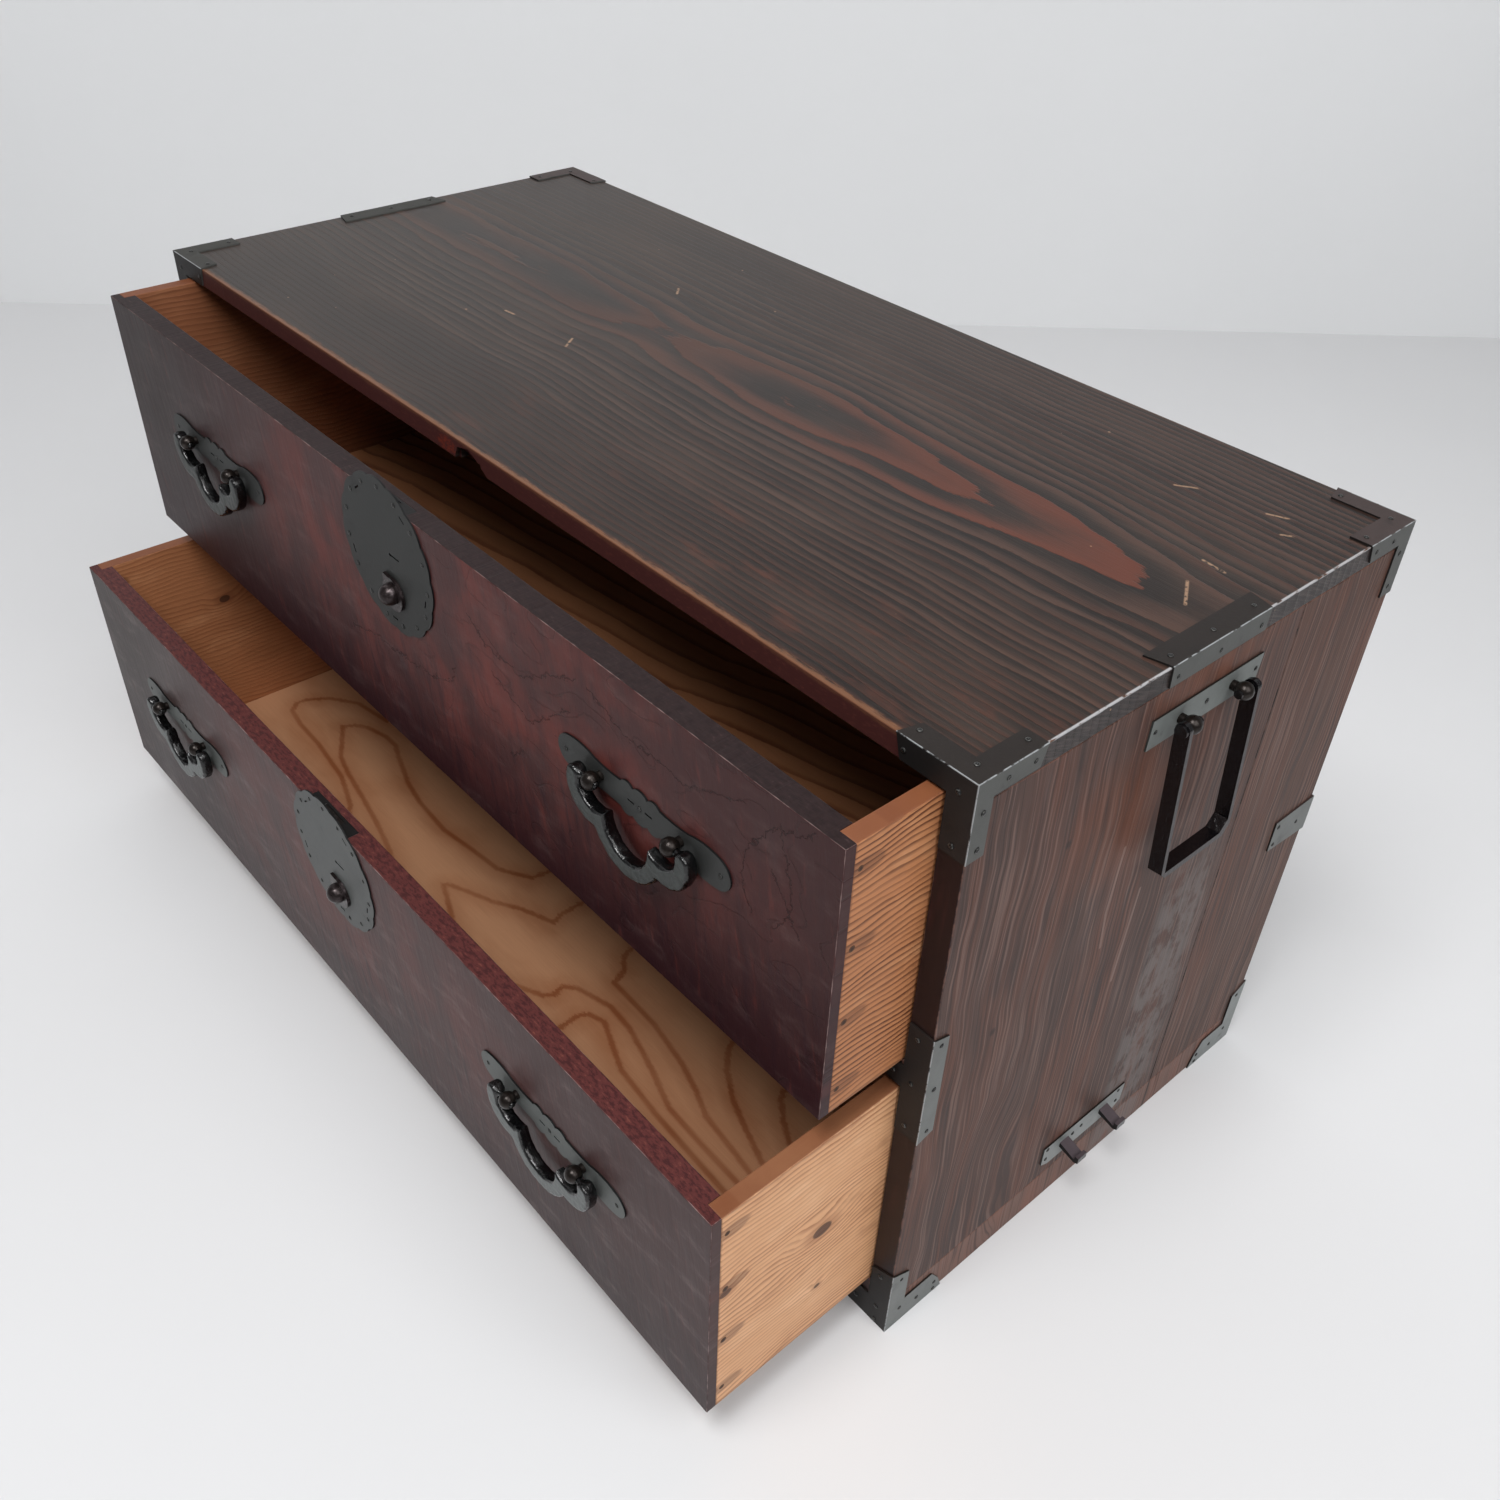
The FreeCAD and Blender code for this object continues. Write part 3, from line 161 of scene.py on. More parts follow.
class Nodes:
    """A node tree, with the one method that adds nodes to it and the three that stand on it."""

    tree: bpy.types.NodeTree

    def node(self, kind: str, settings: dict[str, Any], sockets: dict[Any, Any]) -> bpy.types.Node:
        """Adds one node.

        Args:
            kind: the node's type name.
            settings: its properties, set first; "stops" holds a ramp's places and grey numbers.
            sockets: values or links for its inputs, by name or number.

        Returns:
            The new node.
        """
        made = self.tree.nodes.new(kind)
        for key, value in settings.items():
            if key == "stops":
                self.fill_ramp(made.color_ramp, value)
            else:
                setattr(made, key, value)
        for key, value in sockets.items():
            source = value.socket if isinstance(value, Val) else value
            if isinstance(source, Socket):
                self.tree.links.new(source, made.inputs[key])
            else:
                made.inputs[key].default_value = source
        return made

    @staticmethod
    def fill_ramp(ramp: bpy.types.ColorRamp, stops: Line) -> None:
        """Writes a smooth ramp's stops.

        Args:
            ramp: the new ramp, whose own two stops are at 0 and 1.
            stops: pairs of a place and a grey number, in order; the first place is 0 and the last 1.
        """
        ramp.interpolation = "CARDINAL"
        for place, _ in stops[1:-1]:
            ramp.elements.new(place)
        for stop, (_, grey) in zip(ramp.elements, stops):
            stop.color = (grey, grey, grey, 1.0)

    def maths(self, operation: str, first: Number, second: Number = 0.0) -> Val:
        """Adds one Math node and returns its result."""
        made = self.node("ShaderNodeMath", {"operation": operation}, {0: first, 1: second})
        return Val(self, made.outputs[0])

    def vector(self, operation: str, sockets: dict[Any, Any]) -> bpy.types.Node:
        """Adds one Vector Math node."""
        return self.node("ShaderNodeVectorMath", {"operation": operation}, sockets)

    def join(self, x: Number, y: Number, z: Number = 0.0) -> Socket:
        """One vector socket out of three numbers."""
        return self.node("ShaderNodeCombineXYZ", {}, {0: x, 1: y, 2: z}).outputs[0]


class Graph(Nodes):
    """The node tree of one piece's material, with the few calls that every finish is written in."""

    def __init__(self, name: str, box: Box) -> None:
        """Starts an empty material.

        Args:
            name: the material's name.
            box: the piece's corners, in metres; the graph keeps them, like all its places, in millimetres.
        """
        self.material = bpy.data.materials.new(name)
        self.material.use_nodes = True
        self.tree = self.material.node_tree
        self.tree.nodes.clear()
        where = self.node("ShaderNodeTexCoord", {}, {})
        self.facing = self.split(where.outputs["Normal"])
        self.x, self.y, self.z = (axis * (1 / MM) for axis in self.split(where.outputs["Object"]))
        self.low, self.high = (corner / MM for corner in box)

    def split(self, vector: Socket) -> list[Val]:
        """The three parts of a vector socket."""
        made = self.node("ShaderNodeSeparateXYZ", {}, {0: vector})
        return [Val(self, out) for out in made.outputs]

    def kept(self, name: str) -> Val:
        """A number kept on the mesh under a name."""
        made = self.node("ShaderNodeAttribute", {"attribute_name": name}, {})
        return Val(self, made.outputs["Fac"])

    def noise(self, x: Number, y: Number, z: Number = 0.0, detail: float = 3.0, rough: float = 0.55) -> Val:
        """Cloudy noise from 0 to 1 round a mean of a half.

        Args:
            x, y, z: the place, already divided by the size of the clouds.
            detail: octaves.
            rough: share that each octave keeps.

        Returns:
            The noise.
        """
        sockets = {"Vector": self.join(x, y, z), "Scale": 1.0, "Detail": detail, "Roughness": rough}
        made = self.node("ShaderNodeTexNoise", {"noise_dimensions": "3D"}, sockets)
        return Val(self, made.outputs[0])

    def clouds(self, x: float, y: float, z: float, detail: float = 3.0, rough: float = 0.55) -> Val:
        """The same noise, by the size of its clouds along x, y and z, in millimetres."""
        return self.noise(self.x / x, self.y / y, self.z / z, detail, rough)

    def specks(self, x: Number, y: Number, z: Number, size: float, share: float) -> Val:
        """Scattered small marks.

        Args:
            x, y, z: the place, already divided by the spacing of the marks.
            size: radius of a mark as a share of the spacing.
            share: how many of the cells hold a mark, from 0 to 1.

        Returns:
            1 inside a mark, 0 elsewhere.
        """
        cells = self.node("ShaderNodeTexVoronoi", {}, {"Vector": self.join(x, y, z), "Scale": 1.0})
        chosen = self.split(cells.outputs["Color"])
        inside = (chosen[1] * size - Val(self, cells.outputs["Distance"])).rise(0.0, size * 0.3)
        return inside * chosen[0].rise(1 - share, 1.001 - share)

    def curve(self, value: Val, stops: Line) -> Val:
        """A number read off a smooth curve through given stops, both from 0 to 1."""
        ramp = self.node("ShaderNodeValToRGB", {"stops": stops}, {0: value})
        return self.split(ramp.outputs[0])[0]

    def spot(self, a: Val, b: Val, at: Place, size: Place) -> Val:
        """A soft round patch in two coordinates, by its middle and half sizes: 1 in its middle, 0 outside."""
        u, v = (a - at[0]) * (1 / size[0]), (b - at[1]) * (1 / size[1])
        return (u * u + v * v).rise(1.0, 0.0)

    def gap(self, a: Val, b: Val, corners: Line) -> Val:
        """Distance from a line through given corners.

        Args:
            a, b: the two coordinates it lies in.
            corners: the corners, in order.

        Returns:
            The distance.
        """
        place = self.join(a, b)
        gaps = []
        for start, end in zip(corners, corners[1:]):
            run = Vector((end[0] - start[0], end[1] - start[1], 0.0))
            away = self.vector("SUBTRACT", {0: place, 1: (*start, 0.0)}).outputs[0]
            share = self.vector("DOT_PRODUCT", {0: away, 1: run / run.length_squared}).outputs["Value"]
            held = self.node("ShaderNodeClamp", {}, {0: share}).outputs[0]
            foot = self.vector("SCALE", {0: run, "Scale": held}).outputs[0]
            gaps.append(Val(self, self.vector("DISTANCE", {0: away, 1: foot}).outputs["Value"]))
        return reduce(Val.low, gaps)

    def stroke(self, a: Val, b: Val, corners: Line, width: float) -> Val:
        """A soft line through given corners: 1 along its middle, 0 beyond its half width."""
        return self.gap(a, b, corners).rise(width, width * 0.3)

    def blend(self, first: Tint, second: Tint, share: Number, mode: str = "MIX") -> Socket:
        """Mixes two colours.

        Args:
            first, second: sRGB colours or colour sockets.
            share: how much of the second shows.
            mode: the way they are blended.

        Returns:
            The mixed colour's socket.
        """
        a, b = (linear(c) if isinstance(c, tuple) else c for c in (first, second))
        settings = {"data_type": "RGBA", "blend_type": mode, "clamp_factor": True}
        return self.node("ShaderNodeMix", settings, {0: share, 6: a, 7: b}).outputs[2]

    def coats(self, base: Tint, *layers: tuple[Tint, Number]) -> Tint:
        """Lays colours over each other.

        Args:
            base: the lowest colour.
            layers: each further colour with how much of it shows, in order.

        Returns:
            What is seen of them together.
        """
        for colour, share in layers:
            base = self.blend(base, colour, share)
        return base

    def shade(self, colour: Tint, share: Number) -> Socket:
        """Multiplies a colour by a number; 1 leaves it as it is."""
        grey = self.node("ShaderNodeCombineColor", {}, {0: share, 1: share, 2: share}).outputs[0]
        return self.blend(colour, grey, 1.0, "MULTIPLY")

    def edge_distance(self, low: Vector, high: Vector) -> Val:
        """How far a point of a box's surface is from the box's nearest arris, by the box's corners."""
        inward = []
        for place, start, end in zip((self.x, self.y, self.z), low, high):
            inward.append((end - start) / 2 - abs(place - (start + end) / 2))
        small, large = inward[0].low(inward[1]), inward[0].high(inward[1])
        return small.high(large.low(inward[2]))

    def chewed_edge(self, grain: float, depth: float) -> Val:
        """Distance from the nearest arris, made ragged by bites of a size and a depth in millimetres."""
        bite = self.clouds(grain, grain, grain) - 0.5
        return self.edge_distance(self.low, self.high) + bite * (2 * depth)

    def finish(
        self, colour: Tint, rough: Number, relief: Number = 0.0, depth: float = 0.2, metal: float = 0.0,
        gloss: float = 0.3,
    ) -> Material:
        """Ends the tree in a principled surface.

        Args:
            colour: base colour.
            rough: roughness.
            relief: height from 0 to 1.
            depth: what a height of 1 is, in millimetres.
            metal: metallic share.
            gloss: specular level.

        Returns:
            The finished material.
        """
        bump = self.node("ShaderNodeBump", {}, {"Strength": 1.0, "Distance": depth * MM, "Height": relief})
        sockets = {
            "Base Color": linear(colour) if isinstance(colour, tuple) else colour,
            "Roughness": rough,
            "Metallic": metal,
            "Specular IOR Level": gloss,
            "Normal": bump.outputs[0],
        }
        surface = self.node("ShaderNodeBsdfPrincipled", {}, sockets)
        self.node("ShaderNodeOutputMaterial", {}, {0: surface.outputs[0]})
        return self.material


def grain_rings(phase: Val, soft: float = 0.25) -> Val:
    """Year rings by the ring count: rise from 0 at a share of the ring to 1 and drop at its edge."""
    part = phase.fract()
    return part.rise(soft, 0.93) * part.rise(1.0, 0.95)


class Finish(ABC):
    """A surface finish that can be made for one piece."""

    def make(self, name: str, box: Box) -> Material:
        """Builds the material of one piece, by the material's name and the piece's corners in metres."""
        return self.surface(Graph(name, box))

    @abstractmethod
    def surface(self, g: Graph) -> Material:
        """Lays out the material's nodes."""


@dataclass(frozen=True)
class StainedTop(Finish):
    """Black-brown stain on a flat-sawn softwood top, with red flames along its middle.

    The heart's depths run from the left end to the right; both their numbers are shares, of the board's
    length and of the deepest.
    """

    dark: Rgb = (36, 30, 27)
    # Base painted darker towards the right: painted shade for the weaker sheen there.
    weak_sheen_shade: Rgb = (25, 18, 15)
    pale: Rgb = (82, 68, 60)
    trough: Rgb = (22, 17, 15)
    flame: Rgb = (82, 44, 31)
    fire: Rgb = (100, 44, 28)
    lacquer: Rgb = (70, 36, 34)
    lacquer_light: Rgb = (104, 58, 50)
    end: Rgb = (38, 32, 31)
    end_light: Rgb = (74, 64, 62)
    bare: Rgb = (114, 76, 52)
    nick: Rgb = (158, 126, 100)
    # Near-white line on the worn end arrises: a painted highlight.
    arris: Rgb = (178, 178, 180)
    burn: Rgb = (132, 50, 30)
    burn_at: Place = (-22.0, 470.0)
    heart_radius: float = 50.0
    ring: float = 8.5
    heart_depths: Line = (
        (0.0, 0.53), (0.16, 0.523), (0.273, 0.525), (0.364, 0.5625), (0.425, 0.625), (0.489, 0.575),
        (0.591, 0.5225), (0.693, 0.569), (0.789, 0.625), (0.93, 0.725), (1.0, 0.775),
    )
    deepest: float = 80.0
    scratches: tuple[Line, ...] = (
        ((320.0, 122.0), (332.0, 130.0)), ((378.0, 136.0), (390.0, 141.0)),
        ((398.0, 120.0), (404.0, 124.0)), ((386.0, 57.0), (402.0, 55.0)),
        ((394.0, 30.0), (408.0, 8.0)), ((-130.0, 82.0), (-122.0, 74.0)),
        ((-173.0, -54.0), (-163.0, -53.0)), ((-98.0, -45.0), (-89.0, -57.0)),
    )

    def phase(self, g: Graph) -> tuple[Val, Val]:
        """Ring count over the board, and the distance from the heart line."""
        share = (g.x - g.low.x) / (g.high.x - g.low.x)
        depth = self.deepest * g.curve(share, self.heart_depths)
        wander = (g.noise(g.x / 170, g.y / 400, 3.0, 1.0) - 0.5) * 14
        off = abs(g.y - 15 + g.x * 0.012 + wander)
        reach = (off * off + depth * depth) ** 0.5 - self.heart_radius
        wobble = (g.noise(g.x / 120, g.y / 16, 0.0, 3.0) - 0.5) * 1.1
        teeth = (g.noise(g.x / 4, g.y / 1.6, 5.0, 1.0) - 0.5) * 0.12
        return reach * (1 / self.ring) + reach * abs(reach) * 0.0002 + wobble + teeth, off

    def surface(self, g: Graph) -> Material:
        """Lays out the top's grain, its edges and its wear, with painted shade towards the right and a
        painted highlight on the end arrises; see Finish.
        """
        phase, off = self.phase(g)
        rings = grain_rings(phase, 0.2)
        bold = g.noise(phase / 1.7, g.x / 500, 21.0, 2.0).rise(0.34, 0.62)
        fibres = g.clouds(60, 0.9, 0.9, 3.0, 0.6)
        clouds = g.noise(g.x / 160, g.y / 60, 8.0, 3.0)
        # Towards the right, where the flames grow and the base is painted darker as shade for the weaker
        # sheen.
        right = g.x.rise(-330, 300)
        heart = off.rise(62, 20) * phase.rise(1.25, 0.9)
        calm = g.y.rise(-110, -135)
        trough = phase.fract().rise(0.26, 0.05) * bold * (0.4 - calm * 0.32) * (1 - heart * 0.75)
        patches = g.noise(g.x / 50, g.y / 16, 31.0, 3.0).rise(0.55, 0.75) * right * calm
        front = g.facing[1].rise(-0.4, -0.8)
        side = g.facing[0].rise(0.4, 0.8)
        weave = g.noise(g.x / 5, g.z / 2.2, 1.0, 3.0, 0.7)
        slant = g.noise((g.y + g.z * 2.2) / 3.4, g.z / 9, 0.0, 3.0, 0.6)
        # Mask of the end arrises where the painted highlight lies.
        worn_arris_highlight = (g.high.x + g.high.z - abs(g.x) - g.z).rise(1.5, 0.6)
        broken = g.noise(g.y / 9, g.z / 2, 2.0, 3.0).rise(0.36, 0.5)
        burn = g.spot(g.x, g.z, self.burn_at, (15.0, 7.0)) * weave.rise(0.4, 0.6) * front
        colour = g.coats(
            self.dark,
            # Darker towards the right: painted shade standing in for the weaker sheen.
            (self.weak_sheen_shade, right),
            (self.pale, clouds.rise(0.4, 0.8) * 0.3 + fibres.rise(0.45, 0.85) * 0.25),
            (self.pale, rings * (bold * 0.36 + 0.14) * (1 - calm * 0.75)),
            (self.trough, trough),
            (self.flame, rings * (right * 0.25 + 0.05)),
            (self.flame, patches * 0.6),
            (self.flame, heart * phase.fract().rise(0.0, 0.8) * (right * 0.36 + 0.2)),
            (self.fire, heart * rings * g.x.rise(20, 330) * 0.4),
            (g.blend(self.lacquer, self.lacquer_light, weave.rise(0.5, 0.8) * 0.6), front),
            (g.blend(self.end, self.end_light, slant.rise(0.4, 0.7) * 0.8), side),
            (self.bare, self.wear(g)),
            (self.nick, self.nicks(g) * 0.75),
            # Worn end arrises, painted near-white as a highlight.
            (self.arris, worn_arris_highlight * broken * right * 0.8),
            (self.burn, burn * 0.75),
        )
        rough = 0.3 + clouds * 0.12 + rings * 0.05 + front * 0.15
        return g.finish(colour, rough, rings * 0.5 + fibres * 0.5, 0.2, gloss=0.2)

    def wear(self, g: Graph) -> Val:
        """Where the stain is rubbed off: a broad band at the front arris and a thin line elsewhere."""
        ragged = (g.clouds(12, 3, 3, 5.0, 0.75) - 0.5) * 9
        band = (g.y - g.low.y + ragged).rise(4.6, 1.6) * g.facing[2].rise(0.3, 0.8)
        upper = (g.high.z - g.z + ragged * 0.6).rise(3.2, 1.2) * g.facing[1].rise(-0.3, -0.8)
        thin = g.chewed_edge(8.0, 1.2).rise(0.8, 0.2) * 0.6
        return (band * 0.8).high(upper * 0.4).high(thin)

    def nicks(self, g: Graph) -> Val:
        """Pale specks and the few longer scratches."""
        dots = g.specks(g.x / 21, g.y / 19, g.z / 19, 0.06, 0.3)
        broken = g.noise(g.x / 3, g.y / 3).rise(0.34, 0.5)
        for scratch in self.scratches:
            dots = dots.high(g.stroke(g.x, g.y, scratch, 1.4) * broken)
        return dots


@dataclass(frozen=True)
class StainedSide(Finish):
    """Thin brown-mauve stain on upright boards, worn in long streaks, with lacquered front edges.

    The shift is a place in the noise, so that no two boards look the same.
    """

    stain: Rgb = (76, 54, 47)
    red: Rgb = (96, 58, 44)
    grey: Rgb = (100, 82, 78)
    dark: Rgb = (40, 29, 28)
    light: Rgb = (118, 94, 86)
    glow: Rgb = (112, 64, 42)
    dust: Rgb = (112, 105, 103)
    soot: Rgb = (48, 42, 42)
    scratch: Rgb = (136, 112, 104)
    knot: Rgb = (44, 30, 28)
    crack: Rgb = (22, 16, 15)
    stile: Rgb = (30, 18, 19)
    stile_light: Rgb = (58, 30, 30)
    bare: Rgb = (128, 92, 80)
    scratches: tuple[Line, ...] = (
        ((-48.0, 352.0), (-50.0, 300.0), (-46.0, 268.0)),
        ((-16.0, 300.0), (-20.0, 220.0)),
    )
    knots: Line = ((-110.0, 390.0), (-145.0, 264.0))
    seam: float = 86.5
    shift: float = 0.0

    def surface(self, g: Graph) -> Material:
        """Lays out the streaks, the worn patches and the lacquered edge; see Finish."""
        swing = (g.noise(g.y / 70, g.z / 120, g.x / 40, 2.0) - 0.5) * 18
        arch = g.spot(g.y, g.z, (-128.0, 70.0), (46.0, 130.0)) * 16
        across = g.y + swing + arch
        broad = g.noise(across / 30, g.z / 420, self.shift, 3.0)
        wash = g.noise(across / 12, g.z / 130, 5 + self.shift, 4.0, 0.6)
        lines = g.noise(across / 2.2, g.z / 150, 2 + self.shift, 2.0, 0.6)
        fibres = g.noise(across / 0.7, g.z / 40, 0.0, 2.0)
        shoulder = g.spot(g.y, g.z, (-5.0, 458.0), (90.0, 14.0))
        glow = g.spot(g.y, g.z, (-62.0, 382.0), (62.0, 66.0)).high(shoulder)
        grizzled = g.y.rise(12, 26) * g.y.rise(90, 62) * g.z.rise(330, 240)
        patchy = g.noise(g.y / 14, g.z / 26, 40.0, 4.0, 0.65)
        strokes = [g.stroke(g.y, g.z, scratch, 1.6) for scratch in self.scratches]
        stile = g.facing[1].rise(-0.4, -0.8)
        gum = g.noise(g.x / 6, g.z / 60, 3.0, 3.0)
        colour = g.coats(
            self.stain,
            (self.red, broad.rise(0.42, 0.66) * 0.75),
            (self.grey, wash.rise(0.5, 0.74) * 0.55),
            (self.dark, wash.rise(0.46, 0.28) * 0.6),
            (self.dark, lines.rise(0.5, 0.38) * 0.58),
            (self.light, lines.rise(0.53, 0.66) * 0.6 + fibres.rise(0.6, 0.85) * 0.25),
            (self.glow, glow * wash.rise(0.3, 0.6) * 0.5),
            (self.dust, grizzled * patchy.rise(0.38, 0.56) * 0.6),
            (self.soot, grizzled * patchy.rise(0.36, 0.26) * 0.6),
            *[(self.scratch, stroke * wash.rise(0.4, 0.5) * 0.6) for stroke in strokes],
            *[(self.knot, g.spot(g.y, g.z, knot, (3.4, 4.4)) * 0.8) for knot in self.knots],
            (self.crack, abs(g.y - self.seam).rise(1.6, 0.5) * 0.8),
            (g.blend(self.stile, self.stile_light, gum.rise(0.5, 0.8) * 0.5), stile),
            (self.bare, g.chewed_edge(10.0, 2.0).rise(0.7, 0.1) * 0.4),
        )
        rough = 0.46 + wash * 0.12 - stile * 0.14
        return g.finish(colour, rough, lines * 0.9 + fibres * 0.25, 0.3, gloss=0.22)


@dataclass(frozen=True)
class PlainPine(Finish):
    """Bare softwood darkened by age, for the back and the parts inside."""

    pale: Rgb = (128, 98, 74)
    dark: Rgb = (88, 62, 46)
    stain: Rgb = (70, 52, 42)
    edge: Rgb = (74, 56, 46)
    crack: Rgb = (26, 20, 18)
    boards: int = 1

    def surface(self, g: Graph) -> Material:
        """Lays out the rings, the stains and the joints between the boards; see Finish."""
        low, high = g.low.z, g.high.z
        level = (g.z - low) * (self.boards / (high - low))
        number = level - level.fract()
        wander = (g.noise(g.x / 150 + number * 3.7, g.y / 60, g.z / 60, 2.0) - 0.5) * 26
        rings = grain_rings((g.z + g.y * 0.7 + wander) / 7.0)
        fibres = g.clouds(60, 1.1, 1.1)
        stain = g.clouds(120, 80, 80, 4.0)
        colour = g.coats(
            self.pale,
            (self.dark, rings * 0.55 + fibres.rise(0.5, 0.9) * 0.3),
            (self.stain, stain.rise(0.5, 0.75) * 0.5),
            (self.edge, g.chewed_edge(9.0, 2.0).rise(2.5, 0.3) * 0.5),
        )
        if self.boards > 1:
            joint = level.fract().low(1 - level.fract()) * ((high - low) / self.boards)
            colour = g.blend(colour, self.crack, joint.rise(1.1, 0.4) * 0.85)
        return g.finish(colour, 0.62 + stain * 0.12, rings * 0.5 + fibres * 0.5, 0.25)


@dataclass(frozen=True)
class LacqueredRail(Finish):
    """Red-black lacquer on the rails that frame the drawers, rubbed along the arrises."""

    coat: Rgb = (40, 22, 22)
    red: Rgb = (72, 38, 36)
    worn: Rgb = (112, 74, 62)

    def surface(self, g: Graph) -> Material:
        """Lays out the clouded lacquer and its rubbed arrises; see Finish."""
        figure = g.clouds(70, 14, 3, 4.0, 0.6)
        rubbed = g.chewed_edge(9.0, 2.0).rise(1.0, 0.2)
        colour = g.coats(self.coat, (self.red, figure.rise(0.4, 0.75) * 0.7), (self.worn, rubbed * 0.55))
        return g.finish(colour, 0.36 + figure * 0.2, figure, 0.15)


@dataclass(frozen=True)
class LacqueredFront(Finish):
    """Translucent lacquer over a figured hardwood drawer front.

    The glow lies across and up from the front's foot; the flaws are its longer cracks.
    """

    coat: Rgb = (58, 30, 30)
    red: Rgb = (102, 47, 41)
    deep: Rgb = (47, 24, 29)
    end: Rgb = (38, 28, 28)
    hair: Rgb = (24, 13, 15)
    dust: Rgb = (150, 128, 124)
    lip: Rgb = (37, 24, 24)
    lip_dark: Rgb = (26, 14, 15)
    lip_spark: Rgb = (62, 44, 44)
    # Pale rub: wear on the smears, and on the arrises wear with a painted highlight.
    rub_and_highlight: Rgb = (158, 136, 132)
    glow: Place = (80.0, 130.0)
    glow_size: Place = (360.0, 150.0)
    crazed: float = 0.4
    smeared: float = 0.12
    flaws: tuple[Line, ...] = ()

    def hairlines(self, g: Graph) -> Val:
        """Fine black lines that loop through the figure, and the longer cracks."""
        shaky = (g.noise(g.x / 5, g.z / 4, 2.0, 2.0) - 0.5) * 0.03
        swell = g.noise(g.x / 85, g.z / 52, 7.0, 1.5) + shaky
        line = abs((swell * 7).fract() - 0.5)
        broken = g.noise(g.x / 40, g.z / 30, 12.0, 2.0)
        hair = line.rise(0.05, 0.015) * broken.rise(0.42, 0.5) * self.crazed * g.x.rise(-100, 150)
        shake = [(g.noise(g.x / 8, g.z / 8, layer, 3.0, 0.7) - 0.5) * 14 for layer in (51.0, 57.0)]
        for flaw in self.flaws:
            hair = hair.high(g.stroke(g.x + shake[0], g.z + shake[1], flaw, 0.6))
        return hair

    def surface(self, g: Graph) -> Material:
        """Lays out the figure, the flaws of the lacquer and the upper edge, with a painted highlight on the
        rubbed arrises; see Finish.
        """
        low, high = g.low.z, g.high.z
        height = (g.z - low) / (high - low)
        lean = g.x + (g.z - low) * 0.15
        clouds = g.noise(lean / 55, g.z / 80, 1.0, 4.0, 0.6)
        ripple = g.noise(lean / 6.5, g.z / 46, 4.0, 3.0, 0.6)
        pores = g.noise(g.x / 1.2, g.z / 9, 0.0, 3.0, 0.6)
        middle = g.spot(g.x, g.z, (self.glow[0], low + self.glow[1]), self.glow_size)
        hair = self.hairlines(g)
        smears = g.noise((g.x + g.z) / 46, (g.z - g.x * 0.14) / 17, 17.0, 5.0, 0.7)
        dust = g.specks(g.x / 16, g.y / 16, g.z / 16, 0.035, 0.25)
        top = g.facing[2].rise(0.5, 0.8)
        mottle = g.noise(g.x / 6, g.y / 2.2, 3.0, 4.0, 0.7)
        dark, spark = mottle.rise(0.46, 0.6) * 0.75, mottle.rise(0.42, 0.3) * 0.7
        ragged = g.edge_distance(g.low, g.high) + (g.clouds(10, 3, 10) - 0.5) * 0.9
        figure = g.coats(
            self.coat,
            (self.red, (clouds.rise(0.38, 0.64) * 0.8 + 0.15) * middle),
            (self.end, g.x.rise(-130, -390) * 0.85),
            (self.deep, height.rise(0.55, 0.0) * 0.7),
            (self.deep, ripple.rise(0.5, 0.66) * (height.rise(0.75, 0.15) * 0.55 + 0.2)),
            (self.red, ripple.rise(0.42, 0.28) * 0.35),
        )
        colour = g.coats(
            g.shade(figure, 0.88 + pores * 0.24),
            (self.rub_and_highlight, smears.rise(0.48, 0.8) * self.smeared),
            (self.hair, hair * 0.6),
            (self.dust, dust * 0.6),
            (g.coats(self.lip, (self.lip_dark, dark), (self.lip_spark, spark)), top),
            # Rubbed arrises, painted pale as a highlight too.
            (self.rub_and_highlight, ragged.rise(0.45, 0.1) * 0.55),
        )
        rough = 0.34 + clouds * 0.14 + pores * 0.06 + top * 0.1
        relief = ripple * 0.7 + pores * 0.15 + clouds * 0.4 - hair * 0.6
        return g.finish(colour, rough, relief, 0.42, gloss=0.18)


